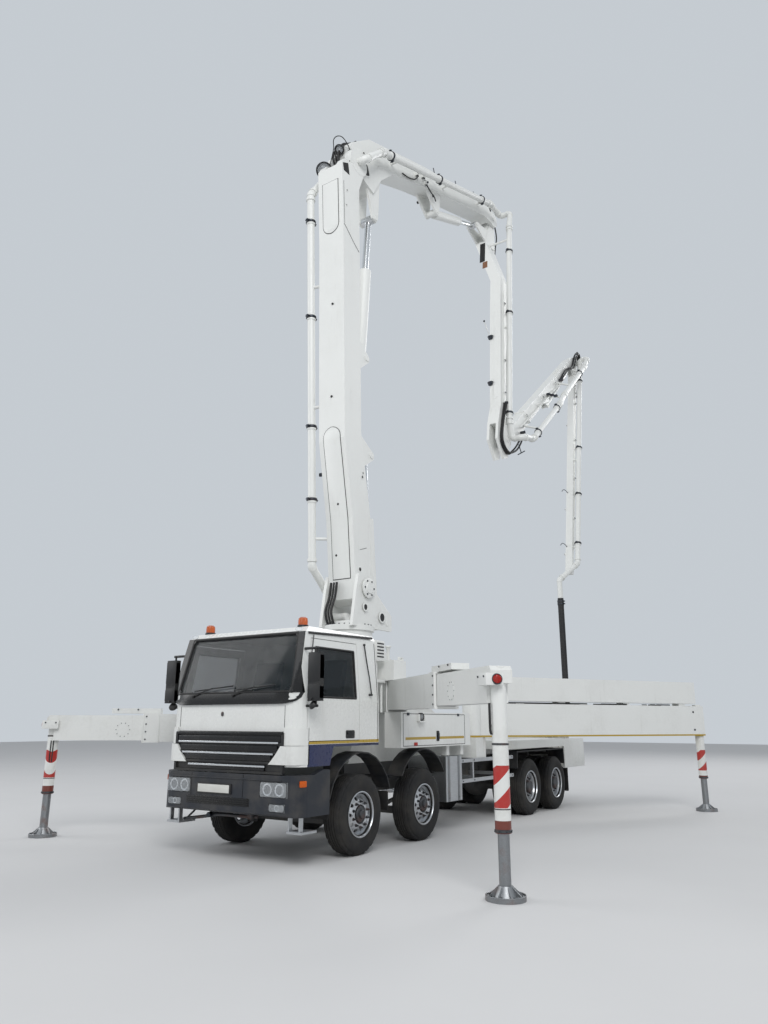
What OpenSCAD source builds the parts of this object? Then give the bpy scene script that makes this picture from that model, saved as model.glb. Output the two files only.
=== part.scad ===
// Truck-mounted concrete pump on four axles, with a five-arm boom and four outrigger legs.
// Lengths are in millimetres. Forward is -Y, the truck's left side is +X, the ground is z = 0.
// Places along the truck are measured from the first axle, and station() shifts them to the origin.

/* [Chassis] */
// Distance from the first to the second axle
axle_2_y = 1700; // [1600:10:1800]
// Distance from the first to the third axle
axle_3_y = 5840; // [5700:10:6000]
// Distance between the two rear axles
bogie_pitch = 1350; // [1300:10:1400]
// Distance from the first axle to the middle of the whole machine
centre_y = 5535; // [5400:5:5700]
// Half the distance between the outer faces of the frame rails
rail_x = 425; // [400:5:440]
// Height of the frame rails' lower edge
rail_z = 700; // [680:5:720]
// Depth of the frame rails
rail_h = 290; // [270:5:300]
// Flange width of the frame rails
rail_w = 80; // [70:5:90]
// Front face of the hopper, where the frame ends
hopper_y = 7740; // [7720:5:7760]

/* [Wheels] */
// Outer radius of every tyre
tyre_r = 530; // [515:5:540]
// Width of every tyre
tyre_w = 310; // [290:5:320]
// Radius of the rim's edge
rim_r = 300; // [285:5:305]
// Outer face of the front tyres
front_face_x = 1225; // [1200:5:1240]
// Outer face of the rear tyres
rear_face_x = 1245; // [1220:5:1250]
// Distance between the middles of twin tyres
twin_pitch = 345; // [335:5:360]
// Distance of the steering pivots from the middle
kingpin_x = 800; // [780:5:820]
// Radius of the wheel spindles
spindle_r = 45; // [40:1:50]

/* [Cab] */
// Half width of the cab at its waist
cab_half_w = 1200; // [1180:5:1220]
// Half width of the cab at its roof
cab_roof_half_w = 1120; // [1100:5:1140]
// Height of the cab roof
cab_roof_z = 3020; // [2980:10:3060]
// Front face of the cab
cab_front_y = -1400; // [-1430:5:-1380]
// Rear face of the cab
cab_rear_y = 440; // [420:5:460]
// Height of the cab floor's underside
cab_floor_z = 1440; // [1420:5:1460]
// Thickness of the cab's walls and doors
cab_wall = 45; // [40:1:50]
// Front seam of the doors
door_front_y = -1215; // [-1230:5:-1200]
// Rear seam of the doors
door_rear_y = -45; // [-60:5:-30]
// Gap round a closed door
door_gap = 9; // [8:1:11]

/* [Front end] */
// Front face of the bumper
bumper_front_y = -1450; // [-1480:5:-1430]
// Lower edge of the bumper
bumper_z = 600; // [580:5:620]
// Upper edge of the bumper
bumper_top_z = 1100; // [1080:5:1120]

/* [Boom] */
// Height of the first arm's pivot
boom_base_z = 3950; // [3900:10:4000]
// Distance of the first arm's pivot from the first axle
boom_base_y = 1320; // [1300:5:1340]
// Length of the first arm between pivots
arm_1_len = 8420; // [8400:10:8450]
// Length of the second arm between pivots
arm_2_len = 6900; // [6880:10:6930]
// Length of the third arm between pivots
arm_3_len = 6690; // [6670:10:6720]
// Length of the fourth arm between pivots
arm_4_len = 7120; // [7100:10:7150]
// Length of the fifth arm from its pivot to its end
arm_5_len = 7450; // [7400:10:7500]
// Sideways offset of the third, fourth and fifth arms
outer_lane_x = 450; // [445:1:455]
// Outer radius of the concrete pipe
pipe_r = 70; // [66:1:74]
// Radius of the pins that join the arms
arm_pin_r = 60; // [55:1:65]
// Length of the end hose
hose_len = 3200; // [3000:50:3300]
// Outer radius of the end hose
hose_r = 80; // [75:1:85]

/* [Outriggers] */
// Sideways place of the front feet
front_foot_x = 4000; // [3950:10:4050]
// Place of the front feet along the truck
front_foot_y = -1365; // [-1400:5:-1330]
// Sideways place of the rear feet
rear_foot_x = 3935; // [3900:5:3970]
// Place of the rear feet along the truck
rear_foot_y = 8550; // [8500:10:8600]
// Radius of the foot plates
foot_r = 210; // [190:5:220]
// Radius of the leg tubes
leg_r = 86; // [82:1:92]

/* [Hidden] */

$fn = 48;
paint = "whitesmoke";
dark = [0.16, 0.17, 0.19];
steel = [0.62, 0.63, 0.64];
alu = [0.75, 0.76, 0.78];
run_gap = 0.3;
move_gap = 6;
axle_4_y = axle_3_y + bogie_pitch;
steer_y = [0, axle_2_y];
drive_y = [axle_3_y, axle_4_y];
rail_top = rail_z + rail_h;
sub_h = 150;
deck_z = rail_top + sub_h;
seat_z = deck_z + run_gap;
rail_rear_y = hopper_y - run_gap;
rail_front_y = -1150 + run_gap;
slew_y = boom_base_y - 20;
slew_z = 3230;

// Directions of the five arms, in degrees from +Y towards +Z
arm_dir = [92, 22.5, -94.6, 38.4, -102];
arm_len = [arm_1_len, arm_2_len, arm_3_len, arm_4_len, arm_5_len];
function along(p, d, s) = [p[0] + s * cos(d), p[1] + s * sin(d)];
// Pivots in the boom's own plane, each as [y, z]
joint_1 = [boom_base_y, boom_base_z];
joint_2 = along(joint_1, arm_dir[0], arm_1_len);
joint_3 = along(joint_2, arm_dir[1], arm_2_len);
joint_4 = along(joint_3, arm_dir[2], arm_3_len);
joint_5 = along(joint_4, arm_dir[3], arm_4_len);
boom_end = along(joint_5, arm_dir[4], arm_5_len);
pivots = [joint_1, joint_2, joint_3, joint_4, joint_5];
arm_w = [570, 430, 290, 250, 190];
foot_w = [570, 250, 200, 150, 110];
cheek_r = [300, 270, 215, 190, 160];

// Point of an arm's own frame, [along, across], in the boom's plane
function on_arm(i, uv) = along(along(pivots[i], arm_dir[i], uv[0]), arm_dir[i] + 90, uv[1]);
function unit(v) = v / norm(v);
function arc(c, r, a0, a1, n) = [
    for (i = [0:n]) let (a = a0 + (a1 - a0) * i / n) c + r * [cos(a), sin(a)]
];

module station() translate([0, -centre_y, 0]) children();
module both_sides() { children(); mirror([1, 0, 0]) children(); }
module side(s) { if (s < 0) mirror([1, 0, 0]) children(); else children(); }

// A block given by its low and high corners
module block(lo, hi) translate(lo) cube(hi - lo);

// A side profile in [y, z], as wide as w about x
module side_plate(x, w) translate([x - w / 2, 0, 0]) rotate([90, 0, 90]) linear_extrude(w) children();

// A round bar between two points
module bar(a, b, r) {
    d = b - a;
    translate(a) rotate([0, acos(d[2] / norm(d)), atan2(d[1], d[0])]) cylinder(h = norm(d), r = r);
}

// A bar of rectangular section between two points of one height
module beam(a, b, w, h) {
    d = b - a;
    translate(a) rotate([0, 0, atan2(d[1], d[0])]) translate([0, -w / 2, -h / 2]) cube([norm(d), w, h]);
}

// A pipe along points. A sharp turn is a bend a little wider than the pipe, a slight one is a ring,
// and each long straight has a coupling ring near both of its ends
module pipe_run(pts, r, bend) {
    n = len(pts);
    dirs = [for (i = [0:n - 2]) unit(pts[i + 1] - pts[i])];
    turn = [for (i = [0:n - 1]) (i == 0 || i == n - 1) ? 0 : acos(dirs[i - 1] * dirs[i])];
    // How far the straights end from each point; they reach a little way into a bend
    cut = [for (t = turn)
        t == 0 ? 0 : t < slight_turn ? r * tan(t / 2) + 2 : (0.4 * bend + 0.6 * r) * tan(t / 2)];
    for (i = [0:n - 2]) {
        from = pts[i] + dirs[i] * cut[i];
        to = pts[i + 1] - dirs[i] * cut[i + 1];
        bar(from, to, r);
        if (norm(to - from) > 500) for (end = [from + dirs[i] * 60, to - dirs[i] * 110])
            bar(end, end + dirs[i] * 50, r + ring_rise);
    }
    for (i = [1:1:n - 2]) if (turn[i] < slight_turn) {
        way = unit(dirs[i - 1] + dirs[i]) * (2 * r * tan(turn[i] / 2) + 25);
        bar(pts[i] - way, pts[i] + way, r + ring_rise);
    } else {
        start = pts[i] - dirs[i - 1] * bend * tan(turn[i] / 2);
        inward = unit(dirs[i] - dirs[i - 1]);
        centre = pts[i] + inward * bend / cos(turn[i] / 2);
        zx = unit(cross(dirs[i - 1], dirs[i]));
        xx = unit(start - centre);
        yy = dirs[i - 1];
        multmatrix([
            [xx[0], yy[0], zx[0], centre[0]],
            [xx[1], yy[1], zx[1], centre[1]],
            [xx[2], yy[2], zx[2], centre[2]],
            [0, 0, 0, 1]
        ]) rotate_extrude(angle = turn[i]) translate([bend, 0]) circle(r + bend_rise);
    }
}

module chassis_frame() color([0.24, 0.25, 0.27]) station() {
    both_sides() difference() {
        block([rail_x - rail_w, rail_front_y, rail_z], [rail_x, rail_rear_y, rail_top]);
        block([rail_x - rail_w - 1, rail_front_y - 1, rail_z + 9],
            [rail_x - 9, rail_rear_y + 1, rail_top - 9]);
    }
    for (y = [-1110, 850, 2500, 3900, 5150, 6515, 7600])
        block([-rail_x + 5, y, rail_z + 40], [rail_x - 5, y + 80, rail_z + 150]);
    both_sides() block([rail_x - rail_w, 650, rail_top - 5], [rail_x, rail_rear_y, deck_z]);
    both_sides() for (y = [-1000, 560, 900, 2300, 5100])
        block([rail_x - 5, y, rail_z + 60], [rail_x + 40, y + 120, rail_top - 60]);
}

// Leaf spring pack over an axle, seated on the axle and hung from the rails
module leaf_spring(y, z, half_len) {
    side_plate(rail_x - 40, 76) polygon([
        [y - half_len, z + 120], [y - half_len, z + 150], [y - 150, z + 90], [y + 150, z + 90],
        [y + half_len, z + 150], [y + half_len, z + 120], [y + 150, z + 40], [y - 150, z + 40]
    ]);
    for (s = [-1, 1])
        block([rail_x - 72, y + s * half_len - 40, z + 118],
            [rail_x - 8, y + s * half_len + 40, rail_z - run_gap]);
}

module axles() color(dark) station() {
    for (y = steer_y) {
        beam([-kingpin_x + 60, y, tyre_r - 115], [kingpin_x - 60, y, tyre_r - 115], 110, 100);
        both_sides() translate([kingpin_x, y, tyre_r - 170]) difference() {
            union() {
                cylinder(h = 110, r = 68);
                translate([-80, -50, 10]) cube([60, 100, 90]);
            }
            translate([0, 0, -1]) cylinder(h = 112, r = 28 + run_gap);
        }
        both_sides() leaf_spring(y, tyre_r - 110, 520);
    }
    for (y = drive_y) {
        translate([0, y, tyre_r]) rotate([0, 90, 0]) rotate_extrude() polygon([
            [0, -680], [85, -680], [85, -280], [190, -150], [215, -60],
            [215, 60], [190, 150], [85, 280], [85, 680], [0, 680]
        ]);
        both_sides() bar([670, y, tyre_r], [rear_face_x - 60, y, tyre_r], spindle_r);
        both_sides() block([rail_x - 70, y - 60, tyre_r + 60], [rail_x - 10, y + 60, rail_z - run_gap]);
    }
}

module engine_block() color([0.35, 0.37, 0.36]) station()
    block([-rail_x + rail_w + 10, -1000, rail_z - 60], [rail_x - rail_w - 10, 250, rail_z + 480]);

// The cab's outer form, drawn in by d
module cab_form(d) {
    front_lo = cab_front_y + d;
    intersection() {
        side_plate(0, 2 * cab_half_w + 10) polygon([
            [front_lo, cab_floor_z - 240 + d], [front_lo, 2080],
            [front_lo + 200, cab_roof_z - 90 - d], [front_lo + 330, cab_roof_z - d],
            [cab_rear_y - d, cab_roof_z - 10 - d], [cab_rear_y - d, cab_floor_z + d],
            [-640 - d, cab_floor_z + d], [-720 - d, cab_floor_z - 240 + d]
        ]);
        rotate([90, 0, 0]) translate([0, 0, -1000]) linear_extrude(3000) polygon([
            [-cab_half_w + d, 1000], [-cab_half_w + d, 2050], [-cab_roof_half_w + d, cab_roof_z - 80 - d],
            [-cab_roof_half_w + 90 + d, cab_roof_z + 50], [cab_roof_half_w - 90 - d, cab_roof_z + 50],
            [cab_roof_half_w - d, cab_roof_z - 80 - d], [cab_half_w - d, 2050], [cab_half_w - d, 1000]
        ]);
        linear_extrude(4000) polygon(concat(
            arc([-cab_half_w + 220, cab_front_y + 220], 220 - d, 180, 270, 6),
            arc([cab_half_w - 220, cab_front_y + 220], 220 - d, 270, 360, 6),
            [[cab_half_w - d, cab_rear_y - d], [-cab_half_w + d, cab_rear_y - d]]
        ));
    }
}

module door_outline(g) polygon([
    [door_front_y + g, 1510 + g], [door_front_y + g, 2120], [door_front_y + 120 + g, 2860 - g],
    [door_rear_y - g, 2860 - g], [door_rear_y - g, 1510 + g]
]);
module door_window() polygon([
    [-1090, 2080], [-1010, 2740], [-130, 2740], [-130, 2080]
]);
module screen_outline(g) polygon([
    [-1070 + g, 2140 + g], [-1000 + g, 2920 - g], [1000 - g, 2920 - g], [1070 - g, 2140 + g]
]);

module cab_shell() color(paint) station() difference() {
    cab_form(0);
    cab_form(cab_wall);
    both_sides() side_plate(cab_half_w - 100, 240) door_outline(0);
    translate([0, -900, 0]) rotate([90, 0, 0]) linear_extrude(700) screen_outline(0);
}

module cab_glass() color([0.25, 0.3, 0.33, 0.5]) station() intersection() {
    difference() {
        cab_form(16);
        cab_form(24);
    }
    translate([0, -900, 0]) rotate([90, 0, 0]) linear_extrude(700) screen_outline(run_gap);
}

module door(s) color(paint) station() side(s) difference() {
    intersection() {
        difference() {
            cab_form(0);
            cab_form(cab_wall);
        }
        side_plate(cab_half_w - 60, 200) door_outline(door_gap);
    }
    side_plate(cab_half_w - 60, 240) door_window();
}

module door_glass(s) color([0.25, 0.3, 0.33, 0.5]) station() side(s) intersection() {
    difference() {
        cab_form(16);
        cab_form(24);
    }
    side_plate(cab_half_w - 60, 200) offset(delta = -run_gap) door_window();
}

module seat(x) {
    block([x - 250, -560, cab_floor_z + cab_wall + run_gap], [x + 250, -60, 1980]);
    side_plate(x, 480) polygon([[-150, 1980], [20, 2650], [110, 2650], [-20, 1980]]);
}

module cab_interior() color([0.2, 0.21, 0.23]) station() {
    for (x = [-620, 620]) seat(x);
    side_plate(0, 1980) polygon([
        [cab_front_y + cab_wall + 5, 1620], [cab_front_y + cab_wall + 5, 2080],
        [-1130, 2080], [-1040, 1920], [-1100, 1620]
    ]);
    bar([620, -1080, 1960], [620, -850, 2080], 30);
    translate([620, -850, 2080]) rotate([62, 0, 0]) rotate_extrude() translate([215, 0]) circle(16);
    translate([620, -850, 2080]) rotate([62, 0, 0]) translate([-215, -18, -10]) cube([430, 36, 20]);
}

module front_bumper() color(dark) station() difference() {
    intersection() {
        linear_extrude(2000) polygon(concat(
            arc([-cab_half_w + 200, bumper_front_y + 240], 240, 180, 270, 6),
            arc([cab_half_w - 200, bumper_front_y + 240], 240, 270, 360, 6),
            [[cab_half_w + 40, -760], [cab_half_w - 50, -760], [cab_half_w - 50, -1150],
            [-cab_half_w + 50, -1150], [-cab_half_w + 50, -760], [-cab_half_w - 40, -760]]
        ));
        side_plate(0, 3000) polygon([
            [-1600, bumper_z + 90], [-1380, bumper_z], [-700, bumper_z], [-700, 1150],
            [-900, bumper_top_z + 60], [-1100, bumper_top_z], [-1600, bumper_top_z]
        ]);
    }
    both_sides() block([640, bumper_front_y - 50, 830], [1090, bumper_front_y + 120, 1020]);
    both_sides() block([800, bumper_front_y - 50, 660], [1060, bumper_front_y + 100, 760]);
}

module cab_trim() color(dark) station() {
    // The grille's frame and slats stand on the cab's front face
    difference() {
        block([-1000, cab_front_y - 45, 1110], [1000, cab_front_y - run_gap, 1620]);
        for (z = [1140, 1260, 1380, 1500])
            block([-960, cab_front_y - 46, z], [960, cab_front_y - 20, z + 95]);
    }
    // Each mirror hangs on a post between two arms that start at the front pillar
    both_sides() {
        block([mirror_x - 90, mirror_y - 65, 2020], [mirror_x + 110, mirror_y + 15, 2640]);
        bar([mirror_x, mirror_y, 1960], [mirror_x, mirror_y, 2700], 14);
        bar([cab_half_w - 55, mirror_y, 2700], [mirror_x + 30, mirror_y, 2700], 18);
        bar([cab_half_w - 2.5, mirror_y, 1960], [mirror_x + 30, mirror_y, 1960], 18);
    }
}

module lamps() color([0.9, 0.9, 0.85]) station() {
    both_sides() {
        block([642, bumper_front_y + 10, 832], [1088, bumper_front_y + 120 - run_gap, 1018]);
        block([802, bumper_front_y + 10, 662], [1058, bumper_front_y + 100 - run_gap, 758]);
    }
    both_sides() translate([900, -1000, cab_roof_z + run_gap]) cylinder(h = 130, r = 60);
}

module arch(y, from, to) side_plate(1080, 280) polygon(concat(
    arc([y, 600], 760, from, to, 10), arc([y, 600], 742, to, from, 10)
));

module wheel_arches() color(dark) station() {
    both_sides() {
        arch(0, 166, 18);
        arch(axle_2_y, 150, 30);
        // Brackets that hold the ends of the front arches on the frame, each [y, z]
        for (b = [[-740, 770], [690, 800], [axle_2_y - 665, 945], [axle_2_y + 625, 945]])
            block([rail_x + run_gap, b[0], b[1]], [1000, b[0] + 40, b[1] + 40]);
        for (y = [5300, 6495, 7600]) {
            block([rail_x + run_gap, y, 1080], [900, y + 40, 1135]);
            block([860, y, 1080], [900, y + 40, 1205]);
        }
    }
    both_sides() side_plate(1060, 360) polygon([
        [5190, 900], [5210, 1220], [7670, 1220], [7690, 900],
        [7670, 900], [7650, 1200], [5230, 1200], [5210, 900]
    ]);
}

module body_boxes() color(paint) station() {
    block([950, 975, 1380], [1250, 3237, 1910]);
    block([-1250, 1620, 1380], [-950, 3237, 1910]);
    both_sides() for (y = [2500, 3000]) {
        block([rail_x + run_gap, y, 1040], [rail_x + 55, y + 100, 1385]);
        block([rail_x + run_gap, y, 1225], [1180, y + 100, 1385]);
    }
    both_sides() block([rail_x + 20, 4800, 1260], [1250, 7710, 1420]);
    both_sides() block([1200, 7700, 800], [1250, 8950, 1415]);
    block([-rail_x - 45, 4000, seat_z], [rail_x + 45, 7700, 1265]);
}

module pedestal() color(paint) station() difference() {
    union() {
        side_plate(0, 2 * rail_x) polygon([
            [760, seat_z], [860, 1500], [860, 2950], [1740, 2950], [2500, 2440], [3300, 2000],
            [3900, 1700], [3900, seat_z]
        ]);
        translate([0, slew_y, 2900]) cylinder(h = slew_z - 2900 - run_gap, r = 400);
        front_sleeves(beam_w + 2 * move_gap + 40, beam_h + 2 * move_gap + 40, -2150, -60);
        // A housing with a lifting lug stands on the left sleeve
        block([800, 880, upper_beam_z + beam_h / 2], [1180, 1235, 2690]);
        difference() {
            side_plate(1150, 30) polygon([[1040, 2600], [1070, 2750], [1180, 2750], [1225, 2600]]);
            bar([1100, 1125, 2712], [1200, 1125, 2712], 24);
        }
        for (s = [-1, 1]) side(s) {
            block([-10, rear_pivot[1] - 190, seat_z + 5],
                [rear_pivot[0] + 170, rear_pivot[1] + 190, 1495 - run_gap]);
            translate([rear_pivot[0], rear_pivot[1], 1480]) cylinder(h = 660, r = swing_pin_r);
        }
    }
    front_sleeves(beam_w + 2 * move_gap, beam_h + 2 * move_gap, -3200, 200);
    pipe_well();
}

module pipe_well() translate([0, slew_y, 1600]) cylinder(h = 2000, r = 110);

module tanks_and_guards() color(alu) station() both_sides() {
    // A step under the bumper's corner, on two hangers
    block([step_x, -1300, step_z], [step_x + 250, -1000, step_z + 30]);
    for (x = [step_x + 15, step_x + 190])
        block([x, -1290, step_z + 10], [x + 25, -1230, bumper_z - run_gap]);
    block([rail_x + 60, 2400, 500], [1220, 2950, 1210]);
    block([rail_x + run_gap, 2500, 800], [rail_x + 70, 2700, 900]);
    for (z = [760, 1090]) block([1190, 2940, z], [1220, 5050, z + 60]);
    for (y = [3400, 4700]) {
        block([rail_x + run_gap, y, 800], [1160, y + 50, 860]);
        block([1150, y, 765], [1195, y + 50, 1145]);
    }
}

// Outer and inner side profile of the hopper
module hopper() color(paint) station() difference() {
    y = hopper_y;
    side_plate(0, 2 * hopper_half_w) polygon([
        [y, hopper_z], [y + 1360, hopper_z], [y + 1310, 900], [y + 860, 620],
        [y + 460, 620], [y + 260, 640], [y, 900]
    ]);
    side_plate(0, 2 * hopper_half_w - 60) polygon([
        [y + 40, hopper_z + 1], [y + 1320, hopper_z + 1], [y + 1272, 920], [y + 850, 655], [y + 470, 655],
        [y + 277, 680], [y + 40, 917]
    ]);
    bar([-900, agitator_at[0], agitator_at[1]], [900, agitator_at[0], agitator_at[1]], 40 + run_gap);
}

module hopper_grate() color(steel) station() {
    low = hopper_z + run_gap;
    for (x = [-780:130:780])
        block([x - 6, hopper_y + 35, low], [x + 6, hopper_y + 1335, low + 40]);
    for (y = [26, 660, 1324])
        block([15 - hopper_half_w, hopper_y + y, low], [hopper_half_w - 15, hopper_y + y + 20, low + 35]);
    both_sides() bar([600, hopper_hinge[0], hopper_hinge[1]], [720, hopper_hinge[0], hopper_hinge[1]], 12);
}

module agitator() color(steel) station() {
    bar([-860, agitator_at[0], agitator_at[1]], [860, agitator_at[0], agitator_at[1]], 40);
    for (x = [-600, -300, 300, 600], turn = [50, 230]) translate([x, agitator_at[0], agitator_at[1]])
        rotate([x > 0 ? turn : -turn, 0, 0]) translate([-15, -60, 0]) cube([30, 120, 270]);
}

module pump_unit() color(steel) station() {
    for (x = [-170, 170]) bar([x, 4300, 1010], [x, rail_rear_y, 1010], 125);
    block([-rail_x + rail_w + run_gap, 4000, 880], [rail_x - rail_w - run_gap, 4320, 1130]);
}

module knuckle(i, s) color(dark) station() side(s) translate([kingpin_x, steer_y[i], 0]) {
    translate([0, 0, tyre_r - 215]) cylinder(h = 245, r = 28);
    translate([0, 0, tyre_r - 220]) cylinder(h = 50 - run_gap, r = 70);
    translate([0, 0, tyre_r - 60 + run_gap]) cylinder(h = 110, r = 70);
    bar([0, 0, tyre_r], [front_face_x - kingpin_x - 60, 0, tyre_r], spindle_r);
}

module tyre_and_rim(x_out) {
    // Profile as [distance from the outer face, radius]
    translate([x_out, 0, tyre_r]) rotate([0, -90, 0]) difference() {
        rotate_extrude() polygon([
            [spindle_r + run_gap, 70], [spindle_r + run_gap, 210], [140, 210], [rim_r - 40, 90],
            [rim_r - 40, tyre_w - 10], [rim_r, tyre_w - 20], [tyre_r - 50, tyre_w], [tyre_r, tyre_w - 45],
            [tyre_r, 45], [tyre_r - 50, 0], [rim_r, 20], [rim_r - 20, 10], [rim_r - 40, 60], [140, 70]
        ]);
        for (a = [0:36:324]) rotate([0, 0, a + 18]) translate([210, 0, 20]) cylinder(h = 200, r = 26);
    }
}

module front_wheel(i, s) color([0.08, 0.08, 0.09]) station() side(s)
    translate([0, steer_y[i], 0]) tyre_and_rim(front_face_x);

module rear_wheel(i, s) color([0.08, 0.08, 0.09]) station() side(s) translate([0, drive_y[i], 0]) {
    tyre_and_rim(rear_face_x);
    tyre_and_rim(rear_face_x - twin_pitch);
    translate([rear_face_x - twin_pitch - 200, 0, tyre_r]) rotate([0, 90, 0]) difference() {
        cylinder(h = twin_pitch + 100, r = 120);
        translate([0, 0, -1]) cylinder(h = twin_pitch + 102, r = spindle_r + run_gap);
    }
}

// Puts a profile of an arm's own frame into the boom's plane
module on_boom(i, x) translate([x, pivots[i][0], pivots[i][1]])
    rotate([90, 0, 90]) rotate(arm_dir[i]) children();
module arm_plate(i, x, w) on_boom(i, x) translate([0, 0, -w / 2]) linear_extrude(w) children();
// Round head of an arm about the next arm's pivot, a little wider than the arm
module head_disc(i, x) on_boom(i, x) translate([arm_len[i], 0, -arm_w[i] / 2 - head_rise])
    cylinder(h = arm_w[i] + 2 * head_rise, r = cheek_r[i + 1]);
// Pin across an arm at a point of its own frame, reaching half to each side
module cross_pin(i, x, p, half, r) on_boom(i, x)
    translate([p[0], p[1], -half]) cylinder(h = 2 * half, r = r);
function lane(i) = i < 2 ? 0 : outer_lane_x;

// Slot that opens an arm's head into two cheeks for the foot of the next arm
module head_slot(i, x) {
    depth = cheek_r[i + 1] + 60;
    on_boom(i, x) translate([arm_len[i] - depth, -900, -foot_w[i + 1] / 2 - move_gap])
        cube([depth + 900, 1800, foot_w[i + 1] + 2 * move_gap]);
}
module head_pin(i, x) cross_pin(i, x, [arm_len[i], 0], arm_w[i] / 2 + 20, arm_pin_r);
module foot_bore(i, x) on_boom(i, x) translate([0, 0, -500]) cylinder(h = 1000, r = arm_pin_r + run_gap);
// Room that the wide part of an arm leaves round the cheeks that hold it
module foot_room(i, x) on_boom(i, x) for (z = [foot_w[i] / 2, -600])
    translate([0, 0, z]) cylinder(h = 600 - foot_w[i] / 2, r = cheek_r[i] + 15);

// Two lugs and a pin for a cylinder's eye at a point of an arm's own frame, standing on the arm at root_v
module lugs(i, x, row, pin, root_v, half, through = true) {
    gap = row[0];
    t = row[1];
    for (s = [-1, 1]) arm_plate(i, x + s * (gap + t) / 2, t) hull() {
        translate(pin) circle(row[2] + 45);
        translate([pin[0] - half, root_v]) square([2 * half, 1]);
    }
    pin_caps(i, x, row, pin);
    if (through) cross_pin(i, x, pin, gap / 2 + t, row[2]);
}
// Caps of a pin on the outer faces of two lugs
module pin_caps(i, x, row, pin) for (z = [row[0] / 2 + row[1] - 5, -row[0] / 2 - row[1] - 15])
    on_boom(i, x) translate([pin[0], pin[1], z]) cylinder(h = 20, r = row[2] + 8);

// Cylinders, each as [parent arm, its pin, child arm, its pin, lane, barrel radius, rod radius];
// a parent of -1 is the turret, whose pin is in the boom's plane
cyl_table = [
    [-1, [1950, 3420], 0, [2500, -430], 0, 140, 75],
    [0, [arm_1_len - 4020, -335], 1, [390, -1000], 0, 125, 65],
    [1, [arm_2_len - 3400, -330], 2, [700, -800], 0, 105, 55],
    [2, [arm_3_len - 3190, 260], 3, [560, 360], outer_lane_x, 80, 42],
    [3, [arm_4_len - 3520, -300], 4, [480, -300], outer_lane_x, 60, 32]
];
// Eyes of the cylinders' bases and rods, each as [width between the lugs, lug thickness, pin radius]
base_eye = [[260, 60, 45], [260, 50, 45], [220, 45, 40], [170, 35, 30], [130, 28, 24]];
tip_eye = [[260, 60, 45], [260, 50, 45], [200, 40, 40], [155, 35, 30], [116, 28, 24]];
function cyl_base(c) = cyl_table[c][0] < 0 ? cyl_table[c][1] : on_arm(cyl_table[c][0], cyl_table[c][1]);
function cyl_tip(c) = on_arm(cyl_table[c][2], cyl_table[c][3]);
cyl_share = 0.62;
base_pin_r = arm_pin_r + 20;
pipe_bend = 100;
// How much coupling rings and bends stand out from the pipe, and the turn from which a bend is used
ring_rise = 18;
bend_rise = 8;
slight_turn = 25;
head_rise = 3;
// Sideways places of the pipe along each arm, and of the swivels at the second to the fourth head
pipe_lane = [500, 430, 710, 930, 685];
swivel_x = [0, 570, 850, 800];
hose_top = [outer_lane_x - 120, boom_end[0] - 420, boom_end[1] - 480];
beam_root_x = 1150;
beam_root_y = 1050;
upper_beam_z = 2160;
lower_beam_z = 1660;
beam_w = 300;
beam_h = 440;
beam_t = 16;
collar_rise = 12;
collar_d = [2300, 2110];
collar_len = [265, 215];
leg_z = 640;
leg_rod_r = 62;
rear_pivot = [1000, 3800];
mirror_x = cab_half_w + 150;
mirror_y = -1235;
step_x = 975;
step_z = 400;
swing_pin_r = 70;
hose_bore_r = 62.5;
hopper_half_w = 850;
hopper_z = 1500;
agitator_at = [hopper_y + 660, 1000];
hopper_hinge = [hopper_y + 20, hopper_z + 18];

module cylinder_frame(c) translate([cyl_table[c][4], cyl_base(c)[0], cyl_base(c)[1]]) rotate([90, 0, 90])
    rotate(atan2(cyl_tip(c)[1] - cyl_base(c)[1], cyl_tip(c)[0] - cyl_base(c)[0])) children();
// Round eye with a bore for its pin
module eye(row, r) difference() {
    translate([0, 0, -row[0] / 2 + run_gap]) cylinder(h = row[0] - 2 * run_gap, r = r);
    translate([0, 0, -row[0]]) cylinder(h = 2 * row[0], r = row[2] + run_gap);
}
module barrel(c) color([0.85, 0.85, 0.82]) station() cylinder_frame(c) {
    big = cyl_table[c][5];
    pin = base_eye[c][2];
    reach = norm(cyl_tip(c) - cyl_base(c));
    eye(base_eye[c], big * 0.75);
    rotate([0, 90, 0]) translate([0, 0, pin + 10]) cylinder(h = 120, r = big * 0.5);
    rotate([0, 90, 0]) difference() {
        translate([0, 0, 115]) cylinder(h = reach * cyl_share - 115, r = big);
        translate([0, 0, 200]) cylinder(h = reach, r = cyl_table[c][6] + run_gap);
    }
}
module rod(c) color(steel) station() cylinder_frame(c) {
    small = cyl_table[c][6];
    pin = tip_eye[c][2];
    reach = norm(cyl_tip(c) - cyl_base(c));
    rotate([0, 90, 0]) translate([0, 0, reach * 0.3]) cylinder(h = reach * 0.7 - pin - 10, r = small);
    translate([reach, 0, 0]) eye(tip_eye[c], small * 1.4);
}

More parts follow.
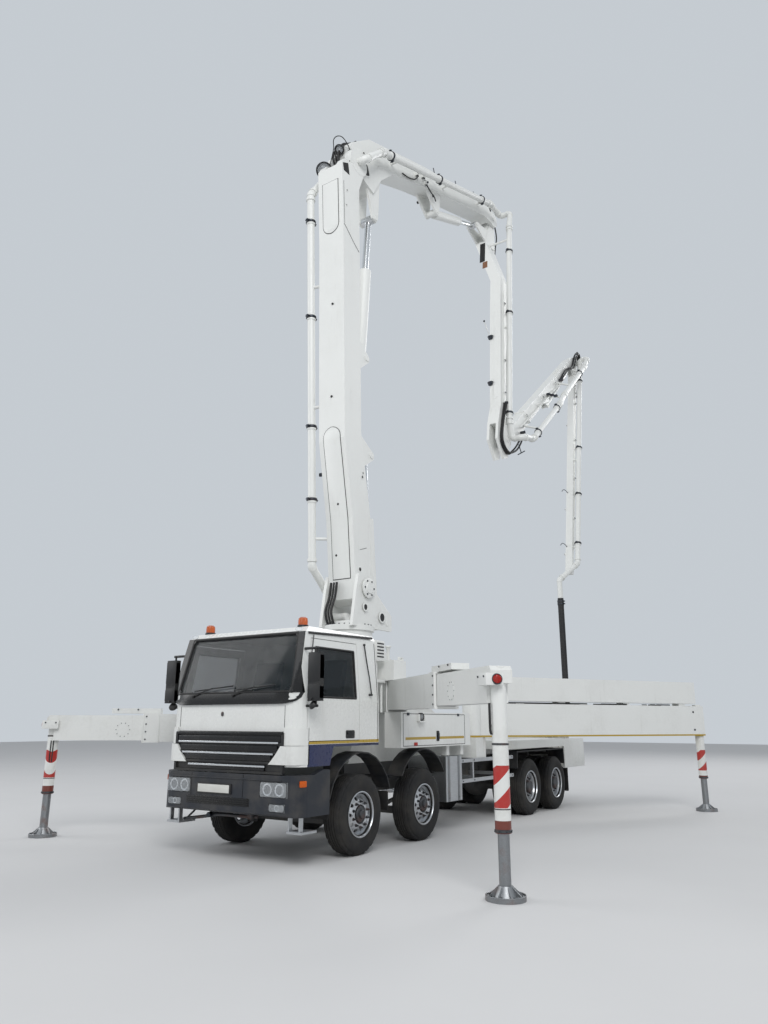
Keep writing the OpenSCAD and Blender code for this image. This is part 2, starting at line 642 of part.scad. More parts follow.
module turret() color(paint) station() {
    foot = cyl_table[0][1];
    translate([0, slew_y, slew_z]) difference() {
        cylinder(h = 90, r = 430);
        translate([0, 0, -1]) cylinder(h = 92, r = 110);
    }
    both_sides() side_plate(arm_w[0] / 2 + move_gap + 30, 60) polygon([
        [slew_y - 380, slew_z + 60], joint_1 + [-300, -50], joint_1 + [-240, 220], joint_1 + [240, 220],
        joint_1 + [310, -60], [2090, 3560], [2090, 3290], [slew_y + 380, slew_z + 60]
    ]);
    block([-330, slew_y - 300, slew_z + 60], [330, slew_y - 230, slew_z + 160]);
    // The concrete pipe rises through the slewing ring and turns to the side plate
    turn_z = slew_z + 260;
    pipe_run([[0, slew_y, slew_z - 500], [0, slew_y, turn_z], [-arm_w[0] / 2 - 12, slew_y, turn_z]],
        pipe_r, pipe_bend);
    // Lugs and pin for the first cylinder's base
    for (s = [-1, 1]) side_plate(s * (base_eye[0][0] + base_eye[0][1]) / 2, base_eye[0][1]) hull() {
        translate(foot) circle(90);
        translate([slew_y + 120, slew_z + 60]) square([150, 180]);
    }
    bar([-360, foot[0], foot[1]], [360, foot[0], foot[1]], base_eye[0][2]);
    cross_pin(0, 0, [0, 0], arm_w[0] / 2 + 90, base_pin_r);
}

// A point given as [x, along, across] of an arm
function arm_point(i, p) = let (q = on_arm(i, [p[1], p[2]])) [p[0], q[0], q[1]];
module arm_pipe(i, pts) pipe_run([for (p = pts) arm_point(i, p)], pipe_r, pipe_bend);
// Struts that carry an arm's pipe, each as
// [along, x of the pipe, across of the pipe, x in the arm, across in the arm]
module pipe_struts(i, rows) for (p = rows)
    bar(arm_point(i, [p[1], p[0], p[2]]), arm_point(i, [p[3], p[0], p[4]]), 28);

module arm_1() color(paint) station() {
    tip = arm_1_len;
    difference() {
        union() {
            arm_plate(0, 0, arm_w[0]) polygon([
                [-180, -200], [-280, 0], [-180, 210], [1200, 300], [2600, 510], [tip - 1920, 520],
                [tip - 360, 560], [tip - 220, 480], [tip - 160, 190], [tip, 150], [tip + 30, 0],
                [tip, -150], [tip - 170, -180], [tip - 620, 0], [2800, 20], [1300, -230]
            ]);
            head_disc(0, 0);
        }
        head_slot(0, 0);
        on_boom(0, 0) translate([0, 0, -500]) cylinder(h = 1000, r = base_pin_r + run_gap);
    }
    lugs(0, 0, tip_eye[0], cyl_table[0][3], 60, 420, false);
    lugs(0, 0, base_eye[1], cyl_table[1][1], 60, 420);
    head_pin(0, 0);
    pipe_x = -pipe_lane[0];
    start_x = -arm_w[0] / 2 - 90 - run_gap;
    arm_pipe(0, [[start_x, 0, 0], [pipe_x, 0, 0], [pipe_x, 400, 420], [pipe_x, tip - 720, 520],
        [pipe_x, tip, 0], [-arm_w[0] / 2 + 10, tip, 0]]);
    pipe_struts(0, [for (u = [900, 3300, tip - 2720]) let (v = 430 + 0.0137 * (u - 400))
        [u, pipe_x, v, -arm_w[0] / 2 + 40, min(v, u < 1500 ? 180 : 430)]]);
}

module arm_2() color(paint) station() {
    tip = arm_2_len;
    difference() {
        union() {
            difference() {
                union() {
                    arm_plate(1, 0, arm_w[1]) polygon([
                        [-120, 200], [0, 420], [750, 660], [3100, 620], [tip - 400, 400], [tip - 200, 330],
                        [tip - 105, 160], [tip, 140], [tip + 40, 0], [tip, -140], [tip - 120, -150],
                        [tip - 600, 0], [3900, 100], [2700, 120], [1500, 100], [900, -150], [460, -500],
                        [200, -300]
                    ]);
                    head_disc(1, 0);
                }
                foot_room(1, 0);
            }
            arm_plate(1, 0, foot_w[1]) polygon([
                [-170, -150], [-170, 180], [600, 560], [900, 300], [560, -300], [0, -230]
            ]);
            for (s = [-1, 1]) arm_plate(1, s * 155, 50) polygon([
                [330, -300], [290, -1000], [390, -1090], [490, -1000], [900, -150], [560, 50]
            ]);
        }
        head_slot(1, 0);
        foot_bore(1, 0);
    }
    lugs(1, 0, base_eye[2], cyl_table[2][1], 160, 380);
    pin_caps(1, 0, tip_eye[1], cyl_table[1][3]);
    head_pin(1, 0);
    arm_pipe(1, [[arm_w[0] / 2 + 20 + run_gap, 0, 0], [pipe_lane[1], 0, 0], [pipe_lane[1], 800, 330],
        [pipe_lane[1], tip - 600, 240], [pipe_lane[1], tip, 0], [swivel_x[1] - run_gap, tip, 0]]);
    pipe_struts(1, [for (u = [1500, 3900, tip - 1000]) let (v = 318 - 0.0164 * (u - 1500))
        [u, pipe_lane[1], v, arm_w[1] / 2 - 40, v]]);
}

module arm_3() color(paint) station() {
    x = outer_lane_x;
    tip = arm_3_len;
    half = arm_w[2] / 2;
    difference() {
        union() {
            difference() {
                intersection() {
                    arm_plate(2, 0, 3000) polygon([
                        [-150, -60], [-150, 180], [900, 230], [1500, 180], [4500, -60], [tip - 390, -60],
                        [tip - 170, 80], [tip, 150], [tip + 130, 80], [tip + 460, 20], [tip + 560, -200],
                        [tip + 160, -560], [tip - 290, -520], [tip - 790, -380], [3000, -380], [900, -320],
                        [520, -200], [200, -60]
                    ]);
                    on_boom(2, 0) rotate([90, 0, 0]) translate([0, 0, -1500]) linear_extrude(3000) polygon([
                        [-400, -half], [-400, half], [950, half], [2250, x + half], [tip + 610, x + half],
                        [tip + 610, x - half], [2250, x - half], [950, -half]
                    ]);
                }
                foot_room(2, 0);
            }
            head_disc(2, x);
            arm_plate(2, 0, foot_w[2]) polygon([
                [-150, -110], [-150, 150], [600, 200], [600, -200], [200, -110]
            ]);
            for (s = [-1, 1]) arm_plate(2, s * 120, 40) polygon([
                [500, -200], [620, -800], [700, -880], [790, -800], [950, -200]
            ]);
        }
        head_slot(2, x);
        foot_bore(2, 0);
    }
    lugs(2, x, base_eye[3], cyl_table[3][1], -80, 300);
    pin_caps(2, 0, tip_eye[2], cyl_table[2][3]);
    head_pin(2, x);
    arm_pipe(2, [[swivel_x[1], 0, 0], [pipe_lane[2], 0, 0], [pipe_lane[2], 500, -60],
        [pipe_lane[2], tip - 390, -140], [pipe_lane[2], tip, 0], [swivel_x[2] - run_gap, tip, 0]]);
    pipe_struts(2, [for (r = [[900, half], [3600, x + half], [tip - 790, x + half]])
        [r[0], pipe_lane[2], -60 - 0.0138 * (r[0] - 500), r[1] - 40, -60 - 0.0138 * (r[0] - 500)]]);
}

module arm_4() color(paint) station() {
    x = outer_lane_x;
    tip = arm_4_len;
    difference() {
        union() {
            difference() {
                union() {
                    arm_plate(3, x, arm_w[3]) polygon([
                        [-120, -60], [-100, 60], [150, 60], [450, 165], [600, 170], [tip - 520, 230],
                        [tip - 160, 180], [tip - 90, 110], [tip, 90], [tip, -90], [tip - 100, -100],
                        [tip - 240, 0], [tip - 620, 0], [600, -200], [150, -60]
                    ]);
                    head_disc(3, x);
                }
                foot_room(3, x);
            }
            arm_plate(3, x, foot_w[3])
                polygon([[-110, -100], [-110, 80], [150, 80], [500, 150], [500, -160]]);
            for (s = [-1, 1]) arm_plate(3, x + s * 95, 35) polygon([
                [380, 100], [480, 360], [560, 430], [640, 360], [760, 100]
            ]);
        }
        head_slot(3, x);
        foot_bore(3, x);
    }
    lugs(3, x, base_eye[4], cyl_table[4][1], -60, 260);
    pin_caps(3, x, tip_eye[3], cyl_table[3][3]);
    head_pin(3, x);
    far_x = pipe_lane[3] + 60;
    arm_pipe(3, [[swivel_x[2], 0, 0], [far_x, 0, 0], [far_x, 600, -280], [far_x, 3200, -240],
        [pipe_lane[3], 4000, -200], [pipe_lane[3], tip - 620, -120], [pipe_lane[3], tip, 0],
        [swivel_x[3] + run_gap, tip, 0]]);
    pipe_struts(3, [[1300, far_x, -270, x + 60, -60], [4800, pipe_lane[3], -175, x + 60, 20],
        [tip - 1020, pipe_lane[3], -133, x + 60, 60]]);
}

module arm_5() color(paint) station() {
    x = outer_lane_x;
    tip = arm_5_len;
    difference() {
        union() {
            difference() {
                arm_plate(4, x, arm_w[4]) polygon([
                    [-100, -40], [-100, 80], [500, 130], [tip - 250, 70], [tip - 250, -60],
                    [500, -120], [400, -112], [120, -40]
                ]);
                foot_room(4, x);
            }
            arm_plate(4, x, foot_w[4]) polygon([[-90, -75], [-90, 75], [420, 110], [420, -110]]);
            for (s = [-1, 1]) arm_plate(4, x + s * 72, 28) polygon([
                [330, -80], [420, -300], [480, -360], [540, -300], [660, -80]
            ]);
        }
        foot_bore(4, x);
    }
    pin_caps(4, x, tip_eye[4], cyl_table[4][3]);
    along_arm = [[swivel_x[3], 0, 0], [pipe_lane[4], 0, 0], [pipe_lane[4], tip - 550, 0]];
    pipe_run(concat([for (p = along_arm) arm_point(4, p)], [hose_top + [0, 0, 500], hose_top]),
        pipe_r, pipe_bend);
    pipe_struts(4, [for (u = [1200, 3600, tip - 1050]) [u, pipe_lane[4], 0, x + 20, 0]]);
}

module end_hose() color([0.1, 0.1, 0.1]) station()
    translate(hose_top - [0, 0, hose_len]) difference() {
        cylinder(h = hose_len - run_gap, r = hose_r);
        translate([0, 0, -1]) cylinder(h = hose_len + 2, r = hose_bore_r);
    }

// Front outrigger beams cross in the pedestal, the left one above the right one
front_way = unit([front_foot_x - beam_root_x, front_foot_y - beam_root_y, 0]);
function front_line(s, d) = [beam_root_x, beam_root_y, s > 0 ? upper_beam_z : lower_beam_z] + front_way * d;
front_leg_d = norm([front_foot_x - beam_root_x, front_foot_y - beam_root_y]);

module front_sleeves(w, h, from, to) for (s = [-1, 1]) side(s)
    beam(front_line(s, from), front_line(s, to), w, h);

// A side profile of a front beam in [distance along it, height above its middle], as wide as w
module front_plate(s, w) translate(front_line(s, 0)) rotate([0, 0, atan2(front_way[1], front_way[0])])
    rotate([90, 0, 0]) translate([0, 0, -w / 2]) linear_extrude(w) children();

function collar(s) = collar_d[s > 0 ? 1 : 0];
module front_beam(s) color(paint) station() side(s) difference() {
    collar_root = collar(s) + 5 - collar_len[s > 0 ? 1 : 0];
    top = beam_h / 2 + collar_rise;
    union() {
        beam(front_line(s, -1100), front_line(s, collar(s)), beam_w, beam_h);
        beam(front_line(s, collar_root), front_line(s, collar(s) + 5),
            beam_w + 2 * collar_rise, beam_h + 2 * collar_rise);
        // The hood on the collar reaches out over the leg's box
        front_plate(s, beam_w - 60) polygon([
            [collar_root, top - 5], [collar_root, top + 78],
            [collar(s) + 520, top + 78], [collar(s) + 520, top]
        ]);
    }
    beam(front_line(s, -1110), front_line(s, collar(s) + 10), beam_w - 2 * beam_t, beam_h - 2 * beam_t);
}

module front_leg(s) color(paint) station() side(s) {
    half = beam_h / 2 - beam_t - move_gap;
    z = front_line(s, 0)[2];
    difference() {
        union() {
            front_plate(s, beam_w - 2 * beam_t - 2 * move_gap) polygon([
                [collar(s) - 700, -half], [front_leg_d - 30, -half], [front_leg_d - 30, 10],
                [front_leg_d + 100, 10], [front_leg_d + 100, half - 50], [front_leg_d + 60, half],
                [collar(s) - 700, half]
            ]);
            translate([front_foot_x, front_foot_y, leg_z]) cylinder(h = z + half - 10 - leg_z, r = leg_r);
        }
        translate([front_foot_x, front_foot_y, leg_z - 1])
            cylinder(h = z - leg_z - 100, r = leg_rod_r + run_gap);
    }
}

module foot(x, y, rod_h) translate([x, y, 0]) {
    cylinder(h = 40, r = foot_r);
    translate([0, 0, 39]) cylinder(h = 100, r1 = 130, r2 = 75);
    translate([0, 0, 100]) cylinder(h = rod_h - 100, r = leg_rod_r);
}

module front_foot(s) color(steel) station() side(s) foot(front_foot_x, front_foot_y, 1050);

rear_reach = norm([rear_foot_x, rear_foot_y] - rear_pivot);
rear_way = ([rear_foot_x, rear_foot_y] - rear_pivot) / rear_reach;
function rear_line(d, z) = [rear_pivot[0] + rear_way[0] * d, rear_pivot[1] + rear_way[1] * d, z];

module rear_beam(s) color(paint) station() side(s) {
    difference() {
        union() {
            beam(rear_line(0, 1800), rear_line(rear_reach + 60, 1800), 240, 600);
            beam(rear_line(150, 2370), rear_line(rear_reach - 130, 2370), 240, 440);
            for (d = [300, 1900, 3500, 5000]) beam(rear_line(d, 2120), rear_line(d + 160, 2120), 200, 90);
            translate([rear_pivot[0], rear_pivot[1], 1495]) cylinder(h = 610, r = 170);
            translate([rear_foot_x, rear_foot_y, leg_z]) cylinder(h = 2130 - leg_z, r = leg_r);
        }
        translate([rear_foot_x, rear_foot_y, leg_z - 1]) cylinder(h = 1050, r = leg_rod_r + run_gap);
        translate([rear_pivot[0], rear_pivot[1], 1490]) cylinder(h = 620, r = swing_pin_r + run_gap);
    }
}
module rear_foot(s) color(steel) station() side(s) foot(rear_foot_x, rear_foot_y, 1250);

chassis_frame();
axles();
engine_block();
cab_shell();
cab_glass();
cab_interior();
front_bumper();
cab_trim();
lamps();
wheel_arches();
body_boxes();
pedestal();
tanks_and_guards();
hopper();
pump_unit();
door(1);  // door_left
door(-1);  // door_right
door_glass(1);  // door_glass_left
door_glass(-1);  // door_glass_right
knuckle(0, 1);  // knuckle_1_left
knuckle(0, -1);  // knuckle_1_right
knuckle(1, 1);  // knuckle_2_left
knuckle(1, -1);  // knuckle_2_right
front_wheel(0, 1);  // wheel_1_left
front_wheel(0, -1);  // wheel_1_right
front_wheel(1, 1);  // wheel_2_left
front_wheel(1, -1);  // wheel_2_right
rear_wheel(0, 1);  // wheel_3_left
rear_wheel(0, -1);  // wheel_3_right
rear_wheel(1, 1);  // wheel_4_left
rear_wheel(1, -1);  // wheel_4_right
turret();
arm_1();
arm_2();
arm_3();
arm_4();
arm_5();
end_hose();
barrel(0);  // barrel_1
rod(0);  // rod_1
barrel(1);  // barrel_2
rod(1);  // rod_2
barrel(2);  // barrel_3
rod(2);  // rod_3
barrel(3);  // barrel_4
rod(3);  // rod_4
barrel(4);  // barrel_5
rod(4);  // rod_5
front_beam(1);  // front_beam_left
front_beam(-1);  // front_beam_right
front_leg(1);  // front_leg_left
front_leg(-1);  // front_leg_right
front_foot(1);  // front_foot_left
front_foot(-1);  // front_foot_right
rear_beam(1);  // rear_beam_left
rear_beam(-1);  // rear_beam_right
rear_foot(1);  // rear_foot_left
rear_foot(-1);  // rear_foot_right
hopper_grate();
agitator();
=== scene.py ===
"""Dresses the truck-mounted concrete pump: finishes for its parts and the detail that stands on them.

Places are given in metres as on the truck itself, with y measured from the first axle; place()
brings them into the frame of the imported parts.
"""

from __future__ import annotations

import logging
import math
from dataclasses import dataclass
from enum import Enum
from typing import Callable, Iterable, Sequence

import bmesh
import bpy
from mathutils import Matrix, Vector

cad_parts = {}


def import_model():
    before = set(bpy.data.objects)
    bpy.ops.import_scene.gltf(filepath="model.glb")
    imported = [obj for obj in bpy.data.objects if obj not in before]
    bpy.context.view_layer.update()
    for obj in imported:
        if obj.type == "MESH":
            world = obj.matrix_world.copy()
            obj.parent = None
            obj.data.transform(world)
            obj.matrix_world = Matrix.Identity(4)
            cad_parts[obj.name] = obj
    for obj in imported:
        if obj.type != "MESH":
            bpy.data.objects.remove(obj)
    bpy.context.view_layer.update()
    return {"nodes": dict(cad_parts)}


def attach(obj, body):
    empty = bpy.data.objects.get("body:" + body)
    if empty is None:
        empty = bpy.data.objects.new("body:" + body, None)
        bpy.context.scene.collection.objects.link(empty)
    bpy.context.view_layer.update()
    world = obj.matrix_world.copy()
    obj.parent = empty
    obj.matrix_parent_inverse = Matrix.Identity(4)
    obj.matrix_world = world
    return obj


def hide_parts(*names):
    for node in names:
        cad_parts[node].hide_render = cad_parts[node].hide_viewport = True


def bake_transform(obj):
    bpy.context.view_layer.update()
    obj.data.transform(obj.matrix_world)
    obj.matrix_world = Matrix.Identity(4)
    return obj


LOG = logging.getLogger("pump_truck")
CENTRE_Y = 5.535
FRONT_FOOT = (4.0, -1.365)
REAR_FOOT = (3.935, 8.55)
SHARP_ANGLE = math.radians(32)
UPWARD = (0.0, 0.0, 1.0)
AHEAD = (0, -1, 0)
BACK = (0, 1, 0)
SIDES = (("left", 1), ("right", -1))
ORIGIN = Matrix.Identity(4)
Pair = tuple[float, float]
Triple = tuple[float, float, float]
Shade = tuple[float, float, float, float]


def place(x: float, y: float, z: float) -> Vector:
    """Point of the truck, y from the first axle, in the frame of the parts."""
    return Vector((x, y - CENTRE_Y, z))


def places(*points: Triple) -> list[Vector]:
    """Several points of the truck in the frame of the parts."""
    return [place(*point) for point in points]


# Shader graph


class Sock:
    """One output socket, or a plain number, that takes part in expressions."""

    def __init__(self, graph: Graph, out: bpy.types.NodeSocket) -> None:
        """Wraps an output socket of a graph."""
        self.graph = graph
        self.out = out

    def _math(self, operation: str, first: object, second: object) -> Sock:
        """Adds one Math node."""
        return self.graph.node("ShaderNodeMath", {"operation": operation}, {0: first, 1: second})

    def __add__(self, other: object) -> Sock:
        """Sum."""
        return self._math("ADD", self, other)

    __radd__ = __add__

    def __sub__(self, other: object) -> Sock:
        """Difference."""
        return self._math("SUBTRACT", self, other)

    def __rsub__(self, other: object) -> Sock:
        """Difference from a number."""
        return self._math("SUBTRACT", other, self)

    def __mul__(self, other: object) -> Sock:
        """Product."""
        return self._math("MULTIPLY", self, other)

    __rmul__ = __mul__

    def __truediv__(self, other: object) -> Sock:
        """Quotient."""
        return self._math("DIVIDE", self, other)

    def __gt__(self, other: object) -> Sock:
        """1 where greater, else 0."""
        return self._math("GREATER_THAN", self, other)

    def __lt__(self, other: object) -> Sock:
        """1 where less, else 0."""
        return self._math("LESS_THAN", self, other)

    def fraction(self) -> Sock:
        """Part after the point."""
        return self._math("FRACT", self, 0.0)

    def size(self) -> Sock:
        """Value without its sign."""
        return self._math("ABSOLUTE", self, 0.0)

    def at_most(self, other: object) -> Sock:
        """Smaller of two."""
        return self._math("MINIMUM", self, other)

    def at_least(self, other: object) -> Sock:
        """Larger of two."""
        return self._math("MAXIMUM", self, other)

    def between(self, low: float, high: float) -> Sock:
        """1 between two values, else 0."""
        return (self > low) * (self < high)

    def ramp(self, low: float, high: float, to_low: float = 0.0, to_high: float = 1.0) -> Sock:
        """Maps low..high to another range and clamps it.

        Args:
            low: Value that becomes to_low.
            high: Value that becomes to_high.
            to_low: First end of the new range.
            to_high: Second end of the new range.

        Returns:
            The mapped value.
        """
        return self.graph.node("ShaderNodeMapRange", {"clamp": True},
                               {0: self, 1: low, 2: high, 3: to_low, 4: to_high})


class Graph:
    """Node tree of a material or of the world."""

    def __init__(self, owner: bpy.types.Material | bpy.types.World,
                 output: str = "ShaderNodeOutputMaterial") -> None:
        """Empties the owner's tree and gives it an output.

        Args:
            owner: Material or world that holds the tree.
            output: Type of its output node.
        """
        owner.use_nodes = True
        self.owner = owner
        self.tree = owner.node_tree
        self.tree.nodes.clear()
        self.output = self.tree.nodes.new(output)
        self._coords: Sock | None = None

    def node(self, kind: str, settings: dict[str, object] | None = None,
             inputs: dict[int | str, object] | None = None, result: int | str = 0) -> Sock:
        """Adds a node.

        Args:
            kind: Type of the node.
            settings: Properties, set first.
            inputs: Values or links by socket.
            result: Output that is returned.

        Returns:
            The chosen output.
        """
        node = self.tree.nodes.new(kind)
        for key, value in (settings or {}).items():
            setattr(node, key, value)
        for key, value in (inputs or {}).items():
            if isinstance(value, Sock):
                self.tree.links.new(value.out, node.inputs[key])
            else:
                node.inputs[key].default_value = value
        return Sock(self, node.outputs[result])

    def coords(self) -> Sock:
        """Object coordinates, made once.

        Returns:
            The coordinates.
        """
        if self._coords is None:
            self._coords = self.node("ShaderNodeTexCoord", result="Object")
        return self._coords

    def axis(self, index: int) -> Sock:
        """One of the object coordinates."""
        return self.node("ShaderNodeSeparateXYZ", {}, {0: self.coords()}, index)

    def noise(self, scale: float, detail: float = 3.0, stretch: Triple = (1.0, 1.0, 1.0),
              roughness: float = 0.55) -> Sock:
        """Noise in object coordinates.

        Args:
            scale: Cycles in a metre.
            detail: Octaves.
            stretch: Factor along each axis.
            roughness: How strong the small octaves are.

        Returns:
            A value about 0.5.
        """
        vector = self.node("ShaderNodeMapping", {}, {"Vector": self.coords(), "Scale": stretch})
        return self.node("ShaderNodeTexNoise", {},
                         {"Vector": vector, "Scale": scale, "Detail": detail, "Roughness": roughness})

    def mix(self, factor: object, first: object, second: object) -> Sock:
        """Mixes two colours.

        Args:
            factor: Share of the second colour.
            first: Colour or link.
            second: Colour or link.

        Returns:
            The mixed colour.
        """
        return self.node("ShaderNodeMix", {"data_type": "RGBA"},
                         {"Factor": factor, 6: first, 7: second}, 2)

    def bump(self, height: Sock, distance: float, strength: float = 1.0) -> Sock:
        """Bump from a height field."""
        return self.node("ShaderNodeBump", {}, {"Height": height, "Distance": distance, "Strength": strength})

    def surface(self, **values: object) -> Sock:
        """Adds the main shader; underscores stand for spaces in socket names."""
        return self.node("ShaderNodeBsdfPrincipled", {},
                         {key.replace("_", " "): value for key, value in values.items()})

    def finish(self, shader: Sock) -> bpy.types.Material | bpy.types.World:
        """Joins a shader to the output and returns the owner."""
        self.tree.links.new(shader.out, self.output.inputs["Surface"])
        return self.owner


def colour(red: float, green: float, blue: float) -> Shade:
    """Colour from screen values of 0 to 255, as linear light."""
    return tuple((v / 255.0 / 12.92 if v <= 10.3 else ((v / 255.0 + 0.055) / 1.055) ** 2.4)
                 for v in (red, green, blue)) + (1.0,)


WHITE = colour(226, 227, 224)
GRIME = colour(126, 118, 104)
RUST = colour(110, 62, 38)
BLUE = colour(22, 34, 78)
GOLD = colour(176, 146, 44)
RED = colour(176, 34, 30)
BLACK = colour(22, 23, 25)
PRIMER = colour(110, 44, 34)


class Marking(Enum):
    """Painted bands that a finish may carry."""

    PLAIN = "plain"
    CAB = "cab"
    DOOR = "door"
    FRONT_LEG = "front_leg"
    REAR_BEAM = "rear_beam"
    BOX = "box"


@dataclass(frozen=True)
class LegStripes:
    """Slanting red bands and the dark sleeve at the foot of an outrigger's leg."""

    foot: Pair
    start: float
    pitch: float
    band: Pair
    sleeve: float
    slope: Pair = (0.832, 0.554)

    def over(self, graph: Graph, shown: object, spot: Sequence[Sock]) -> Sock:
        """Paints the bands over a colour.

        Args:
            graph: Material under work.
            shown: Colour or link below them.
            spot: Place on the truck, as x, y and z.

        Returns:
            The colour with its bands.
        """
        x, y, z = spot
        across = (x.size() - self.foot[0]) * self.slope[0] + (y - self.foot[1]) * self.slope[1]
        slant = ((z - across - self.start) / self.pitch).fraction() < 0.5
        shown = graph.mix(slant * z.between(*self.band), shown, RED)
        return graph.mix(z < self.sleeve, shown, PRIMER)


FRONT_STRIPES = LegStripes(FRONT_FOOT, 1.199, 0.35, (0.89, 1.315), 0.765)
REAR_STRIPES = LegStripes(REAR_FOOT, 1.08, 0.33, (0.8, 1.21), 0.7)


@dataclass(frozen=True)
class Enamel:
    """Glossy machine paint with dust, streaks and rust specks."""

    name: str
    base: Shade = WHITE
    marking: Marking = Marking.PLAIN
    dirt: float = 1.0
    gloss: float = 0.34

    def _marked(self, graph: Graph) -> object:
        """Colour of the clean paint with its bands.

        Args:
            graph: Material under work.

        Returns:
            Colour or link.
        """
        if self.marking is Marking.PLAIN:
            return self.base
        x, y, z = (graph.axis(i) for i in range(3))
        y = y + CENTRE_Y
        if self.marking in (Marking.CAB, Marking.DOOR):
            side = (x.size() > 1.11) * (y > -1.19)
            gold = z.between(1.478, 1.52) * side
            blue = (z < 1.474) * side
            front = (y < -1.3) * (z < 1.62) * (x.size() < 0.98)
            shown = graph.mix(gold, self.base, GOLD)
            shown = graph.mix(blue, shown, BLUE)
            return graph.mix(front, shown, BLACK) if self.marking is Marking.CAB else shown
        if self.marking is Marking.BOX:
            latch = y.between(2.03, 2.15)
            line = z.between(1.495, 1.535) * (x.size() > 1.2) * y.between(1.1, 3.0) * (1 - latch)
            return graph.mix(line, self.base, GOLD)
        if self.marking is Marking.REAR_BEAM:
            lined = graph.mix(z.between(1.49, 1.53), self.base, GOLD)
            return REAR_STRIPES.over(graph, lined, (x, y, z))
        return FRONT_STRIPES.over(graph, self.base, (x, y, z))

    def build(self) -> bpy.types.Material:
        """Makes the material.

        Returns:
            The material.
        """
        graph = Graph(bpy.data.materials.new(self.name))
        z = graph.axis(2)
        cloud = graph.noise(1.3, 5.0)
        fine = graph.noise(23.0, 4.0)
        streak = graph.noise(7.0, 4.0, (1.0, 1.0, 0.09), 0.6)
        low = z.ramp(2.2, 0.4)
        dust = ((cloud - 0.46) * 1.3 + (fine - 0.5) * 0.5).ramp(0.0, 0.5, 0.0, 0.5)
        runs = (streak - 0.58).ramp(0.0, 0.2, 0.0, 0.45) * cloud.ramp(0.4, 0.6)
        amount = ((dust * (low * 0.55 + 0.22) + runs * 0.6 + low * 0.08) * self.dirt).at_most(0.85)
        speck = graph.noise(55.0, 5.0, roughness=0.7).ramp(0.69, 0.74)
        speck = speck * cloud.ramp(0.48, 0.62) * min(self.dirt, 1.0)
        base = graph.mix(amount, self._marked(graph), GRIME)
        base = graph.mix(speck * 0.7, base, RUST)
        rough = (amount * 0.45 + self.gloss + fine * 0.08).at_most(0.95)
        height = graph.noise(70.0, 2.0) * 0.4 + speck + graph.noise(2.2, 2.0) * 2.0
        return graph.finish(graph.surface(Base_Color=base, Roughness=rough, Coat_Weight=0.12,
                                          Coat_Roughness=0.2, Normal=graph.bump(height, 0.0012, 0.5)))


@dataclass(frozen=True)
class Metal:
    """Bare, plated or cast metal with scratches and stains."""

    name: str
    base: Shade
    rough: float = 0.35
    stain: float = 0.3
    tint: Shade = RUST
    grain: Triple = (1.0, 1.0, 1.0)

    def build(self) -> bpy.types.Material:
        """Makes the material.

        Returns:
            The material.
        """
        graph = Graph(bpy.data.materials.new(self.name))
        cloud = graph.noise(6.0, 5.0)
        brushed = graph.noise(90.0, 3.0, self.grain)
        worn = (cloud - 0.5).ramp(0.0, 0.22) * self.stain
        base = graph.mix(worn, graph.mix(brushed.ramp(0.35, 0.7, 0.0, 0.35), self.base,
                                         tuple(0.72 * c for c in self.base[:3]) + (1.0,)), self.tint)
        return graph.finish(graph.surface(Base_Color=base, Metallic=1.0 - worn,
                                          Roughness=brushed * 0.16 + self.rough + worn * 0.5,
                                          Normal=graph.bump(brushed + cloud, 0.0006, 0.4)))


@dataclass(frozen=True)
class Moulded:
    """Plastic or rubber: matt, grained and a little dusty."""

    name: str
    base: Shade
    rough: float = 0.55
    grain: float = 160.0
    depth: float = 0.0006
    dust: float = 0.5
    dust_base: Shade = GRIME

    def build(self) -> bpy.types.Material:
        """Makes the material.

        Returns:
            The material.
        """
        graph = Graph(bpy.data.materials.new(self.name))
        cloud = graph.noise(3.5, 5.0)
        pores = graph.noise(self.grain, 2.0)
        film = (cloud - 0.42).ramp(0.0, 0.35) * self.dust * graph.axis(2).ramp(2.0, 0.2, 0.35, 1.0)
        return graph.finish(graph.surface(Base_Color=graph.mix(film * 0.6, self.base, self.dust_base),
                                          Roughness=film * 0.3 + self.rough + pores * 0.08,
                                          Normal=graph.bump(pores, self.depth, 0.6)))


@dataclass(frozen=True)
class Glazing:
    """Tinted glass or a lamp lens."""

    name: str
    base: Shade
    see_through: float = 0.8
    ribs: float = 0.0

    def build(self) -> bpy.types.Material:
        """Makes the material.

        Returns:
            The material.
        """
        graph = Graph(bpy.data.materials.new(self.name))
        smear = graph.noise(5.0, 4.0)
        values: dict[str, object] = dict(
            Base_Color=self.base, Roughness=smear.ramp(0.45, 0.75, 0.03, 0.16), IOR=1.45,
            Alpha=smear.ramp(0.3, 0.8, 1.0 - self.see_through, 1.12 - self.see_through))
        if self.ribs:
            wave = graph.node("ShaderNodeTexWave", {}, {"Vector": graph.coords(), "Scale": self.ribs})
            values["Normal"] = graph.bump(wave, 0.002)
        return graph.finish(graph.surface(**values))


@dataclass(frozen=True)
class StagePaint:
    """Matt paint of the studio's floor."""

    name: str
    shade: float = 0.8

    def build(self) -> bpy.types.Material:
        """Makes the material.

        Returns:
            The material.
        """
        graph = Graph(bpy.data.materials.new(self.name))
        cloud = graph.noise(0.6, 2.0)
        base = graph.mix(cloud.ramp(0.3, 0.7), (self.shade,) * 3 + (1.0,), (self.shade * 0.98,) * 3 + (1.0,))
        return graph.finish(graph.surface(Base_Color=base, Roughness=0.9, Specular_IOR_Level=0.1))


